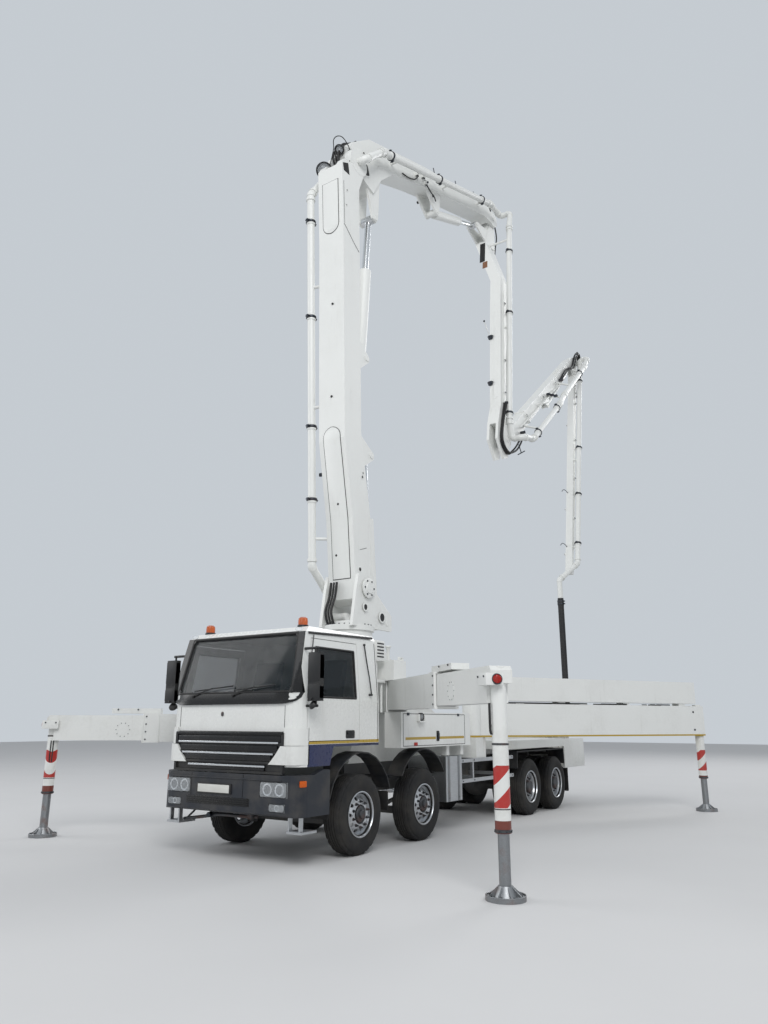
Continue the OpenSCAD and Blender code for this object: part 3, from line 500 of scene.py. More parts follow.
class Finishes:
    """Every finish by its name, made when it is first asked for."""

    def __init__(self) -> None:
        """Lists the finishes."""
        steel = colour(150, 152, 154)
        table: Sequence[object] = (
            Enamel("white_paint"),
            Enamel("boom_paint", dirt=0.55, gloss=0.38),
            Enamel("cab_paint", marking=Marking.CAB, dirt=0.5, gloss=0.22),
            Enamel("door_paint", marking=Marking.DOOR, dirt=0.5, gloss=0.22),
            Enamel("box_paint", marking=Marking.BOX, dirt=0.8, gloss=0.3),
            Enamel("rear_beam_paint", marking=Marking.REAR_BEAM, dirt=0.8),
            Enamel("leg_paint", marking=Marking.FRONT_LEG, dirt=1.1),
            Enamel("frame_paint", base=colour(52, 54, 57), dirt=1.1, gloss=0.45),
            Enamel("hopper_paint", base=colour(205, 204, 198), dirt=2.2, gloss=0.5),
            Enamel("engine_paint", base=colour(84, 88, 88), dirt=1.2, gloss=0.5),
            Metal("worn_steel", steel, 0.38, 0.5),
            Metal("tank_alloy", colour(196, 198, 200), 0.3, 0.12, GRIME, (1.0, 0.1, 1.0)),
            Metal("rim_alloy", colour(205, 207, 210), 0.24, 0.3, colour(70, 66, 60)),
            Metal("dark_steel", colour(92, 93, 95), 0.45, 0.5),
            Metal("bright_rod", colour(222, 224, 226), 0.12, 0.06, GRIME, (0.2, 1.0, 1.0)),
            Metal("chrome", colour(228, 230, 232), 0.07, 0.04, GRIME),
            Metal("gun_metal", colour(70, 74, 80), 0.3, 0.2),
            Enamel("rust_paint", base=colour(124, 84, 58), dirt=1.6, gloss=0.6),
            Moulded("black_plastic", colour(24, 25, 27), 0.45, dust=0.35),
            Moulded("gloss_black", colour(10, 10, 12), 0.22, 40.0, 0.0002, 0.15),
            Moulded("bumper_plastic", colour(30, 34, 42), 0.4, dust=0.45),
            Moulded("arch_plastic", colour(24, 26, 30), 0.5, dust=0.45),
            # Black rubber; it also gives the dark sheet of painted shade in the opening on arm 1.
            Moulded("seal_rubber", colour(18, 18, 19), 0.6, dust=0.2),
            Moulded("tyre_rubber", colour(24, 24, 25), 0.78, 60.0, 0.0012, 0.7, colour(84, 80, 74)),
            Moulded("hose_rubber", colour(26, 26, 28), 0.55, 90.0, 0.001, 0.3),
            Moulded("seat_cloth", colour(48, 50, 56), 0.9, 420.0, 0.0008, 0.2),
            Moulded("blank_plate", colour(214, 214, 208), 0.4, 40.0, 0.0003, 0.5),
            Glazing("window_glass", colour(30, 38, 42), 0.62),
            Glazing("clear_lens", colour(225, 230, 234), 0.72, 30.0),
            Glazing("amber_lens", colour(214, 96, 18), 0.25, 60.0),
            Glazing("red_lens", colour(176, 30, 18), 0.2, 60.0),
        )
        self._table = {finish.name: finish for finish in table}
        self._made: dict[str, bpy.types.Material] = {}

    def get(self, name: str) -> bpy.types.Material:
        """Finds a material, and makes it at the first call.

        Args:
            name: Name of the finish.

        Returns:
            The material.
        """
        if name not in self._made:
            self._made[name] = self._table[name].build()
        return self._made[name]


# Mesh making


class Maker:
    """Builds pieces, gives them a finish and lets them ride on a body."""

    def __init__(self, finishes: Finishes) -> None:
        """Keeps the finishes."""
        self.finishes = finishes
        self.count = 0

    def adopt(self, name: str, shape: Form | bpy.types.Mesh, body: str, *finishes: str,
              at: Matrix | None = None) -> bpy.types.Object:
        """Makes an object of a shape, finishes it and lets it ride.

        Args:
            name: Name of the piece.
            shape: Form that is ended here, or a mesh that several pieces share.
            body: Body that it rides on; empty for a piece that crosses between two bodies and rides on none.
            finishes: Finish of each material index.
            at: Its place, if the mesh isn't in the frame's own coordinates.

        Returns:
            The object.
        """
        mesh = shape.mesh(name) if isinstance(shape, Form) else shape
        piece = bpy.data.objects.new(name, mesh)
        bpy.context.scene.collection.objects.link(piece)
        if at is not None:
            piece.matrix_world = at
        if not mesh.materials:
            for finish in finishes:
                mesh.materials.append(self.finishes.get(finish))
        mesh.shade_smooth()
        mesh.set_sharp_from_angle(angle=SHARP_ANGLE)
        if body:
            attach(piece, body)
        self.count += 1
        LOG.info("%s rides on %s", name, body or "two bodies")
        return piece

    def cad(self, node: str, *finishes: str) -> None:
        """Gives a carried-over part its finish.

        Args:
            node: Name of the part.
            finishes: Finish of each material index.
        """
        mesh = bpy.data.objects[node].data
        mesh.materials.clear()
        for finish in finishes:
            mesh.materials.append(self.finishes.get(finish))


class Form:
    """A mesh under construction, in which several shapes are gathered."""

    def __init__(self) -> None:
        """Starts empty."""
        self.bm = bmesh.new()

    def _tag(self, verts: Iterable[bmesh.types.BMVert], slot: int) -> None:
        """Gives the faces of new vertices their material index."""
        for face in {f for v in verts for f in v.link_faces}:
            face.material_index = slot

    def block(self, low: Sequence[float], high: Sequence[float], bevel: float = 0.006, slot: int = 0,
              turn: Matrix | None = None) -> None:
        """Adds a block with broken edges.

        Args:
            low: Low corner.
            high: High corner.
            bevel: Width of the broken edge.
            slot: Material index.
            turn: Optional matrix applied after.
        """
        low_v, high_v = Vector(low), Vector(high)
        at = Matrix.Translation((low_v + high_v) / 2) @ Matrix.Diagonal((*(high_v - low_v), 1.0))
        made = bmesh.ops.create_cube(self.bm, size=1.0, matrix=at)["verts"]
        self._tag(made, slot)
        if bevel > 0:
            edges = list({e for v in made for e in v.link_edges})
            out = bmesh.ops.bevel(self.bm, geom=edges, offset=min(bevel, min(high_v - low_v) * 0.45),
                                  segments=2, profile=0.6, affect="EDGES")
            for face in out["faces"]:
                face.material_index = slot
            made = list({v for f in out["faces"] for v in f.verts} | {v for v in made if v.is_valid})
        if turn is not None:
            bmesh.ops.transform(self.bm, matrix=turn, verts=[v for v in made if v.is_valid])

    def span(self, first: Triple, second: Triple, bevel: float = 0.006, slot: int = 0) -> None:
        """Adds a block between two opposite corners, which are points of the truck in any order."""
        low, high = zip(*(sorted(ends) for ends in zip(first, second)))
        self.block(place(*low), place(*high), bevel, slot)

    def bar(self, at: Matrix, start: Triple, end: Triple, radius: float, slot: int = 0,
            sides: int = 24) -> None:
        """Adds a round bar between two points of a matrix."""
        self.tube(at @ Vector(start), at @ Vector(end), radius, slot, sides)

    def tube(self, start: Sequence[float], end: Sequence[float], radius: float, slot: int = 0,
             sides: int = 24, bevel: float = 0.0) -> None:
        """Adds a round bar between two points.

        Args:
            start: Middle of its first end.
            end: Middle of its other end.
            radius: Its radius.
            slot: Material index.
            sides: Number of sides.
            bevel: Width of its broken rims.
        """
        a, b = Vector(start), Vector(end)
        along = b - a
        turn = along.to_track_quat("Z", "Y").to_matrix().to_4x4()
        rows = [(radius, bevel), (radius, along.length - bevel)]
        if bevel:
            rows = [(radius - bevel, 0.0), *rows, (radius - bevel, along.length)]
        self.lathe([(0.0, 0.0), *rows, (0.0, along.length)],
                   Matrix.Translation(a) @ turn, slot, sides)

    def lathe(self, rows: Sequence[Pair], at: Matrix, slot: int = 0, sides: int = 48,
              closed: bool = False) -> None:
        """Turns a profile of (radius, height) about the Z axis of a matrix.

        Args:
            rows: The profile.
            at: Place and direction.
            slot: Material index.
            sides: Steps round the axis.
            closed: Whether the profile's end joins its start.
        """
        rings: list[list[bmesh.types.BMVert]] = []
        for radius, height in rows:
            if radius < 1e-6:
                rings.append([self.bm.verts.new(at @ Vector((0.0, 0.0, height)))])
                continue
            rings.append([self.bm.verts.new(at @ Vector((radius * math.cos(a), radius * math.sin(a), height)))
                          for a in (2 * math.pi * k / sides for k in range(sides))])
        pairs = list(zip(rings, rings[1:])) + ([(rings[-1], rings[0])] if closed else [])
        for low, high in pairs:
            for k in range(sides):
                corners = [low[k % len(low)], low[(k + 1) % len(low)],
                           high[(k + 1) % len(high)], high[k % len(high)]]
                unique = list(dict.fromkeys(corners))
                if len(unique) > 2:
                    self.bm.faces.new(unique).material_index = slot

    def prism(self, outline: Sequence[Pair], depth: float, at: Matrix, slot: int = 0,
              bevel: float = 0.0) -> None:
        """Extrudes a flat outline along the Z axis of a matrix.

        Args:
            outline: Points of the outline.
            depth: How far it is extruded.
            at: Place and direction.
            slot: Material index.
            bevel: Width of the broken edge.
        """
        low = [self.bm.verts.new(at @ Vector((x, y, 0.0))) for x, y in outline]
        high = [self.bm.verts.new(at @ Vector((x, y, depth))) for x, y in outline]
        made = [self.bm.faces.new(list(reversed(low))), self.bm.faces.new(high)]
        for k in range(len(outline)):
            n = (k + 1) % len(outline)
            made.append(self.bm.faces.new((low[k], low[n], high[n], high[k])))
        for face in made:
            face.material_index = slot
        if bevel > 0:
            rim = list({e for f in made[:2] for e in f.edges})
            out = bmesh.ops.bevel(self.bm, geom=rim, offset=bevel, segments=2, profile=0.6, affect="EDGES")
            for face in out["faces"]:
                face.material_index = slot

    def sweep(self, path: Sequence[Sequence[float]], radius: float, slot: int = 0, sides: int = 10) -> None:
        """Lays a round section along points joined by a smooth curve.

        Args:
            path: Points of the route.
            radius: Radius of the section.
            slot: Material index.
            sides: Number of sides.
        """
        line = smooth_path([Vector(p) for p in path])
        side = Vector((0.0, 0.0, 1.0))
        rings = []
        for k, point in enumerate(line):
            ahead = (line[min(k + 1, len(line) - 1)] - line[max(k - 1, 0)]).normalized()
            side = side - ahead * side.dot(ahead)
            if side.length < 1e-4:
                side = ahead.orthogonal()
            side.normalize()
            other = ahead.cross(side)
            rings.append([self.bm.verts.new(point + (side * math.cos(a) + other * math.sin(a)) * radius)
                          for a in (2 * math.pi * j / sides for j in range(sides))])
        for low, high in zip(rings, rings[1:]):
            for j in range(sides):
                n = (j + 1) % sides
                self.bm.faces.new((low[j], low[n], high[n], high[j])).material_index = slot
        self.bm.faces.new(list(reversed(rings[0]))).material_index = slot
        self.bm.faces.new(rings[-1]).material_index = slot

    def mesh(self, name: str) -> bpy.types.Mesh:
        """Ends the form.

        Args:
            name: Name of the mesh.

        Returns:
            The mesh.
        """
        bmesh.ops.recalc_face_normals(self.bm, faces=self.bm.faces)
        mesh = bpy.data.meshes.new(name)
        self.bm.to_mesh(mesh)
        self.bm.free()
        return mesh


def smooth_path(points: Sequence[Vector], steps: int = 6) -> list[Vector]:
    """Smooth curve through points.

    Args:
        points: The points.
        steps: Pieces between each two.

    Returns:
        The finer points.
    """
    if len(points) < 3:
        return list(points)
    ends = [points[0] * 2 - points[1], *points, points[-1] * 2 - points[-2]]
    line = []
    for k in range(1, len(ends) - 2):
        p0, p1, p2, p3 = ends[k - 1:k + 3]
        for j in range(steps):
            t = j / steps
            line.append(0.5 * ((2 * p1) + (p2 - p0) * t + (2 * p0 - 5 * p1 + 4 * p2 - p3) * t * t
                               + (3 * p1 - p0 - 3 * p2 + p3) * t ** 3))
    return line + [points[-1]]


def circle(count: int, radius: float = 1.0) -> list[Vector]:
    """Points spaced evenly round the Z axis."""
    turns = (2 * math.pi * k / count for k in range(count))
    return [Vector((radius * math.cos(a), radius * math.sin(a), 0.0)) for a in turns]


def axes(origin: Vector, x: Vector, y: Vector, z: Vector) -> Matrix:
    """Matrix with that origin and those axes."""
    return Matrix.Translation(origin) @ Matrix((x, y, z)).transposed().to_4x4()


def facing(origin: Vector, normal: Sequence[float], up: Sequence[float] = UPWARD) -> Matrix:
    """Matrix whose Z axis is a normal and whose Y axis leans to up.

    Args:
        origin: Its place.
        normal: Direction of its Z axis.
        up: Direction that its Y axis leans to.

    Returns:
        The matrix.
    """
    z = Vector(normal).normalized()
    x = Vector(up).cross(z).normalized()
    return axes(origin, x, z.cross(x), z)


def rounded(width: float, height: float, radius: float, steps: int = 5) -> list[Pair]:
    """Outline of a rounded rectangle about the origin.

    Args:
        width: Its width.
        height: Its height.
        radius: Corner radius.
        steps: Pieces in each corner.

    Returns:
        Its points.
    """
    points = []
    for cx, cy, start in ((1, 1, 0), (-1, 1, 90), (-1, -1, 180), (1, -1, 270)):
        for k in range(steps + 1):
            a = math.radians(start + 90 * k / steps)
            points.append((cx * (width / 2 - radius) + radius * math.cos(a),
                           cy * (height / 2 - radius) + radius * math.sin(a)))
    return points


# Sub-assemblies


@dataclass
class SubAssembly:
    """A group of pieces with its sizes, and the maker that finishes them and gives them a body."""

    maker: Maker

    def add(self, name: str, shape: Form | bpy.types.Mesh, body: str, *finishes: str,
            at: Matrix | None = None) -> bpy.types.Object:
        """Gives a piece to the maker, whose adopt says what each value is."""
        return self.maker.adopt(name, shape, body, *finishes, at=at)


@dataclass
class RoadWheel(SubAssembly):
    """Tyre, rim and hub; the twin ones stand in pairs."""

    radius: float = 0.53
    width: float = 0.31
    rim: float = 0.298
    bolt_circle: float = 0.1675
    hand_circle: float = 0.213
    hand_radius: float = 0.027
    holes: int = 10
    sides: int = 120
    outer_face: float = 1.225
    twin_face: float = 1.245
    twin_gap: float = 0.345
    groove: float = 0.013
    blend: Pair = (0.17, 0.255)
    holed: Pair = (0.178, 0.248)
    axles: tuple[tuple[str, float, bool], ...] = (
        ("1", 0.0, False), ("2", 1.7, False), ("3", 5.84, True), ("4", 7.19, True))

    def tyre(self) -> bpy.types.Mesh:
        """Makes the tyre, Z inwards from its outer face.

        Returns:
            The mesh.
        """
        half = [(self.rim - 0.028, 0.034), (self.rim - 0.016, 0.022), (self.rim, 0.016),
                (self.rim + 0.02, 0.008), (self.rim + 0.035, 0.011), (self.rim + 0.06, 0.002),
                (self.rim + 0.1, 0.0), (self.rim + 0.15, 0.003), (self.radius - 0.05, 0.012),
                (self.radius - 0.035, 0.022), (self.radius - 0.032, 0.03), (self.radius - 0.006, 0.042),
                (self.radius - 0.001, 0.05)]
        tread: list[Pair] = []
        for start in (0.086, 0.129):
            tread += [(self.radius, start), (self.radius - self.groove, start + 0.002),
                      (self.radius - self.groove, start + 0.011), (self.radius, start + 0.013)]
        side = half + tread
        rows = side + [(r, self.width - d) for r, d in reversed(side)]
        form = Form()
        form.lathe(rows, ORIGIN, 0, self.sides, closed=True)
        for vert in form.bm.verts:
            radius = vert.co.xy.length
            step = round(math.degrees(math.atan2(vert.co.y, vert.co.x)) / 360 * self.sides) % 4
            edge = min(vert.co.z, self.width - vert.co.z)
            if step == 0 and radius > self.radius - 0.034 and edge < 0.06:
                vert.co.xy *= (radius - self.groove) / radius
        return form.mesh("tyre")

    def _dish(self, form: Form, height: Callable[[float], float]) -> None:
        """Adds the wheel's disc with its round hand holes.

        Args:
            form: Form under construction.
            height: Depth of the disc at a radius.
        """
        low, high = self.holed
        sector = 2 * math.pi / self.holes
        for k in range(self.holes):
            mid = k * sector
            rim_points = [(low, mid - sector / 2 + sector * j / 8) for j in range(8)]
            rim_points += [(low + (high - low) * j / 4, mid + sector / 2) for j in range(4)]
            rim_points += [(high, mid + sector / 2 - sector * j / 8) for j in range(8)]
            rim_points += [(high - (high - low) * j / 4, mid - sector / 2) for j in range(4)]
            outer, inner, deep = [], [], []
            centre = Vector((math.cos(mid), math.sin(mid))) * self.hand_circle
            for radius, angle in rim_points:
                flat = Vector((math.cos(angle), math.sin(angle))) * radius
                lip = centre + (flat - centre).normalized() * self.hand_radius
                outer.append(form.bm.verts.new((*flat, height(radius))))
                inner.append(form.bm.verts.new((*lip, height(lip.length))))
                deep.append(form.bm.verts.new((*lip, height(lip.length) + 0.014)))
            for j in range(len(outer)):
                n = (j + 1) % len(outer)
                form.bm.faces.new((outer[j], outer[n], inner[n], inner[j]))
                form.bm.faces.new((inner[j], inner[n], deep[n], deep[j]))

    def rim_mesh(self, dished: bool, inner: bool = False) -> bpy.types.Mesh:
        """Makes a rim with hub and nuts.

        Args:
            dished: Whether the disc lies deep inside, as on the twins.
            inner: Whether it is the hidden inner one, without nuts.

        Returns:
            The mesh.
        """
        form = Form()
        flange = [(self.rim + 0.004, 0.016), (self.rim + 0.004, 0.010), (self.rim - 0.01, 0.008),
                  (self.rim - 0.018, 0.02), (self.rim - 0.022, 0.05), (self.rim - 0.04, 0.075)]
        well = [(self.rim - 0.05, 0.13), (self.rim - 0.05, self.width - 0.13)]
        far = [(r, self.width - d) for r, d in reversed(flange)]
        form.lathe(flange + well + far, ORIGIN, 0, 72)
        disc = 0.125 if dished else 0.085
        top = 0.105 if dished else 0.03

        def height(radius: float) -> float:
            """Depth of the disc at a radius."""
            t = min(max((radius - self.blend[0]) / (self.blend[1] - self.blend[0]), 0.0), 1.0)
            return top + (disc - top) * t * t * (3 - 2 * t)

        self._dish(form, height)
        low, high = self.holed
        for rows in ([(high + 0.001, height(high)), (0.262, disc + 0.002), (0.262, disc + 0.02)],
                     [(low, height(low)), (0.14, top), (0.128, top), (0.128, top + 0.06)]):
            form.lathe(rows, ORIGIN, 0, 72)
        bmesh.ops.remove_doubles(form.bm, verts=form.bm.verts, dist=1e-5)
        if not inner:
            cap = [(0.0, top - 0.05), (0.05, top - 0.05), (0.058, top - 0.044), (0.062, top - 0.02),
                   (0.098, top - 0.014), (0.104, top - 0.008), (0.106, top + 0.02), (0.13, top + 0.022)]
            if dished:
                cap = [(0.0, 0.028), (0.1, 0.028), (0.112, 0.036), (0.118, 0.05), (0.12, top + 0.02)]
            form.lathe(cap, ORIGIN, 1, 48)
            for k in range(self.holes):
                a = 2 * math.pi * (k + 0.5) / self.holes
                x, y = self.bolt_circle * math.cos(a), self.bolt_circle * math.sin(a)
                form.tube((x, y, top + 0.004), (x, y, top - 0.004), 0.021, 1, 20)
                form.tube((x, y, top), (x, y, top - 0.026), 0.0165, 1, 6)
                form.tube((x, y, top - 0.02), (x, y, top - 0.044), 0.010, 1, 12)
        return form.mesh("rim")

    def build(self) -> None:
        """Makes all the wheels."""
        tyre, front = self.tyre(), self.rim_mesh(False)
        rear, hidden = self.rim_mesh(True), self.rim_mesh(True, True)
        for number, y, twin in self.axles:
            for side, s in SIDES:
                body = f"wheel_{number}_{side}"
                offsets = [(0.0, rear, "outer"),
                           (self.twin_gap, hidden, "inner")] if twin else [(0.0, front, "outer")]
                for inset, rim, word in offsets:
                    x = s * ((self.twin_face if twin else self.outer_face) - inset)
                    at = facing(place(x, y, self.radius), (-s, 0, 0))
                    tread = self.add(f"tyre_{number}_{side}_{word}", tyre, body, "tyre_rubber", at=at)
                    self.add(f"rim_{number}_{side}_{word}", rim, body, "rim_alloy", "dark_steel", at=at)
                    if word == "outer":
                        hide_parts(body)
                if twin:
                    form = Form()
                    for x0, x1, radius, sides in ((0.72, 1.06, 0.118, 40), (0.74, 0.8, 0.2, 48)):
                        form.tube(*places((s * x0, y, self.radius), (s * x1, y, self.radius)), radius,
                                  0, sides, 0.006)
                    self.add(f"brake_drum_{number}_{side}", form, body, "dark_steel")


@dataclass
class Cab(SubAssembly):
    """Windscreen surround, grille, lamps, mirrors and small fittings of the cab."""

    half_width: float = 1.2
    front: float = -1.4
    corner: float = 0.22
    lean_from: float = 2.08
    lean: float = 0.2 / 0.85
    bumper_face: float = -1.45
    lamp_face: float = -1.436
    pillar_lean: float = 0.0875

    def face_y(self, x: float, z: float) -> float:
        """Front face of the cab.

        Args:
            x: Place across the truck.
            z: Height.

        Returns:
            Its place along the truck.
        """
        past = max(abs(x) - (self.half_width - self.corner), 0.0)
        plan = self.front + self.corner - math.sqrt(max(self.corner ** 2 - past ** 2, 0.0))
        return max(plan, self.front + max(z - self.lean_from, 0.0) * self.lean)

    def on_face(self, x: float, z: float, out: float = 0.0) -> Vector:
        """Point that far out of the front face."""
        return place(x, self.face_y(x, z) - out, z)

    def screen(self) -> None:
        """Windscreen seal and wipers."""
        form = Form()
        corners = [(-1.07, 2.14), (-1.0, 2.92), (1.0, 2.92), (1.07, 2.14), (-1.07, 2.14)]
        for (xa, za), (xb, zb) in zip(corners, corners[1:]):
            path = [self.on_face(xa + (xb - xa) * t / 12, za + (zb - za) * t / 12, -0.002) for t in range(13)]
            form.sweep(path, 0.019, 0, 8)
        self.add("screen_seal", form, "root", "seal_rubber")
        form = Form()
        for x0, x1 in ((-0.72, 0.02), (0.05, 0.78)):
            form.tube(self.on_face(x0, 2.1, 0.0), self.on_face(x0, 2.1, 0.045), 0.02, bevel=0.003)
            arm = [self.on_face(x0, 2.1, 0.04), self.on_face(x0 + 0.1, 2.14, 0.05),
                   self.on_face((x0 + x1) / 2, 2.21, 0.045)]
            form.sweep(arm, 0.008, 0, 8)
            blade = [self.on_face(x0 + (x1 - x0) * t / 6, 2.175 + 0.06 * t / 6, 0.026) for t in range(7)]
            form.sweep(blade, 0.009, 0, 6)
        self.add("wipers", form, "root", "seal_rubber")

    def wrap(self, form: Form, rows: Sequence[Triple], out: float, thick: float, slot: int = 0) -> None:
        """Lays a panel on the curved front face.

        Args:
            form: Form under construction.
            rows: Levels of the panel, each as height, inner and outer place across.
            out: How far its face stands out.
            thick: Its thickness.
            slot: Material index.
        """
        count = 12
        layers = []
        for depth in (out, out - thick):
            layers.append([[form.bm.verts.new(self.on_face(xa + (xb - xa) * k / count, z, depth))
                            for k in range(count + 1)] for z, xa, xb in rows])
        for layer in layers:
            for low, high in zip(layer, layer[1:]):
                for k in range(count):
                    form.bm.faces.new((low[k], low[k + 1], high[k + 1], high[k])).material_index = slot
        outer, inner = ([*layer[0], *(row[-1] for row in layer[1:-1]), *reversed(layer[-1]),
                         *(row[0] for row in reversed(layer[1:-1]))] for layer in layers)
        for k in range(len(outer)):
            n = (k + 1) % len(outer)
            form.bm.faces.new((outer[k], outer[n], inner[n], inner[k])).material_index = slot

    def half_grille(self, z: float) -> float:
        """Half the grille's width at a height."""
        return 0.955 if z > 1.455 else 0.955 - (1.455 - z) * 0.86

    def panels(self) -> None:
        """White corner panels beside the grille and the black surround of the windscreen."""
        form = Form()
        for s in (1, -1):
            self.wrap(form, [(z, s * (self.half_grille(z) + 0.012 * math.sin(14 * (z - 1.23))), s * 1.2)
                             for z in (1.228, 1.238, 1.28, 1.33, 1.38, 1.425, 1.45, 1.458)], 0.052, 0.075)
            self.wrap(form, [(z, s * 0.99, s * 1.2) for z in (1.464, 1.472, 1.55, 1.64, 1.672, 1.682)], 0.03,
                      0.04)
        self.add("corner_panels", form, "root", "white_paint")
        form = Form()
        for z0, z1, s in ((1.69, 1.965, 1), (1.69, 1.965, -1)):
            form.sweep([self.on_face(s * 0.975, z0 + (z1 - z0) * k / 4, 0.0) for k in range(5)], 0.004, 0, 6)
        form.sweep([self.on_face(-1.16 + 2.32 * k / 24, 1.632, 0.0) for k in range(25)], 0.004, 0, 6)
        form.prism(rounded(0.045, 0.06, 0.02), 0.012,
                   facing(self.on_face(-0.15, 1.86, -0.004), AHEAD), 1, 0.004)
        self.add("front_seams", form, "root", "seal_rubber", "dark_steel")
        form = Form()
        lower = [(1.985, 0.86), (1.99, 0.98), (2.005, 1.07), (2.03, 1.13), (2.07, 1.165), (2.132, 1.18)]
        self.wrap(form, [(z, -half, half) for z, half in lower], 0.028, 0.032)
        for s in (1, -1):
            pillar = []
            for k in range(9):
                z = 2.13 + 0.81 * k / 8
                glass = 1.07 - (z - 2.14) * 0.09 - (0.0 if 2.2 < z < 2.86 else 0.05)
                pillar.append((z, s * (glass - 0.004), s * (1.192 - max(z - 2.05, 0.0) * 0.09)))
            self.wrap(form, pillar, 0.012, 0.016)
        self.wrap(form, [(2.915, -1.0, 1.0), (2.945, -1.0, 1.0)], 0.008, 0.012)
        for s in (1, -1):
            strip = [place(s * (1.1215 + 0.004), -1.15 + 1.5 * k / 10, 2.925 + 0.05 * k / 10)
                     for k in range(11)]
            form.sweep(strip, 0.018, 0, 8)
            edge = [place(s * (1.196 - max(z - 2.05, 0.0) * self.pillar_lean),
                          max(-1.2, -1.4 + (z - 2.08) * 0.235 + 0.17), z)
                    for z in (2.02, 2.12, 2.3, 2.5, 2.7, 2.9)]
            form.sweep(edge, 0.014, 0, 8)
        self.add("screen_surround", form, "root", "gloss_black")
        form = Form()
        for x in (-1.0, 1.0):
            form.prism(rounded(0.13, 0.045, 0.02), 0.02,
                       facing(self.on_face(x, 2.972, 0.004), (0, -1, 0.25)), 0, 0.006)
        self.add("roof_lamps", form, "root", "clear_lens")

    def grille(self) -> None:
        """Grille slats, their bright strips and the blank number plate."""
        form = Form()
        for z in (1.187, 1.307, 1.427, 1.547):
            half = self.half_grille(z - 0.04) - 0.005
            form.span((-half, self.front - 0.04, z - 0.042), (half, self.front - 0.012, z + 0.03), 0.006, 0)
        for z in (1.2, 1.355, 1.495):
            half = self.half_grille(z) - 0.03
            form.span((-half, self.front - 0.058, z - 0.011), (half, self.front - 0.044, z + 0.011), 0.004, 1)
            for x in (-0.6 * half, 0.6 * half):
                form.span((x - 0.01, self.front - 0.048, z - 0.006),
                          (x + 0.01, self.front - 0.02, z + 0.006), 0.0)
        form.span((-0.99, self.front - 0.052, 1.598), (0.99, self.front - 0.03, 1.628), 0.006, 0)
        self.add("grille_slats", form, "root", "gloss_black", "chrome")
        form = Form()
        form.span((-0.5, -1.466, 0.835), (0.14, -1.448, 0.965), 0.004, 0)
        form.span((-0.47, -1.472, 0.85), (0.11, -1.464, 0.95), 0.002, 1)
        self.add("number_plate_blank", form, "root", "black_plastic", "blank_plate")

    def lamps(self) -> None:
        """Lamp glasses with reflectors, and beacons on the roof."""
        for side, s in SIDES:
            form = Form()
            lens = Form()
            for x0, x1, z0, z1, bowls in ((0.645, 1.085, 0.835, 1.015, (0.76, 0.965)),
                                          (0.805, 1.055, 0.665, 0.755, (0.93,))):
                cx, cz = s * (x0 + x1) / 2, (z0 + z1) / 2
                at = facing(place(cx, self.lamp_face - 0.008, cz), AHEAD)
                lens.prism(rounded(x1 - x0 - 0.006, z1 - z0 - 0.006, 0.022), 0.012, at, 0, 0.003)
                form.prism(rounded(x1 - x0, z1 - z0, 0.02), 0.01,
                           facing(place(cx, self.lamp_face, cz), AHEAD), 1)
                for bx in bowls:
                    size = (z1 - z0) * 0.42
                    bowl = facing(place(s * bx, self.lamp_face - 0.008, cz), AHEAD)
                    form.lathe([(0.012, -0.001), (size * 0.5, 0.0005), (size * 0.86, 0.0025), (size, 0.0045)],
                               bowl, 0, 32)
            self.add(f"lamp_bowls_{side}", form, "root", "chrome", "black_plastic")
            self.add(f"lamp_glass_{side}", lens, "root", "clear_lens")
            form = Form()
            form.prism(rounded(0.1, 0.075, 0.012), 0.014,
                       facing(place(s * 1.2235, -1.3, 1.0), (s * 0.93, -0.37, 0)), 0, 0.003)
            self.add(f"side_marker_{side}", form, "root", "amber_lens")
            form = Form()
            base = Matrix.Translation(place(s * 0.9, -1.0, 3.021))
            form.lathe([(0.0, 0.0), (0.075, 0.0), (0.078, 0.004), (0.075, 0.03), (0.0, 0.03)], base, 1, 40)
            form.lathe([(0.066, 0.03), (0.067, 0.09), (0.06, 0.125), (0.04, 0.14), (0.0, 0.144)], base, 0, 40)
            self.add(f"beacon_{side}", form, "root", "amber_lens", "black_plastic")

    def mirrors(self) -> None:
        """Mirror housings with their glass on the CAD arms."""
        for side, s in SIDES:
            form = Form()
            for z0, z1, width in ((2.27, 2.64, 0.2), (2.02, 2.24, 0.2)):
                cz, height = (z0 + z1) / 2, z1 - z0
                back = facing(place(s * 1.36, -1.305, cz), BACK)
                form.prism(rounded(width, height, 0.035), 0.085, back, 0, 0.012)
                glass = facing(place(s * 1.36, -1.221, cz), BACK)
                form.prism(rounded(width - 0.03, height - 0.03, 0.028), 0.004, glass, 1)
            self.add(f"mirror_heads_{side}", form, "root", "black_plastic", "chrome")

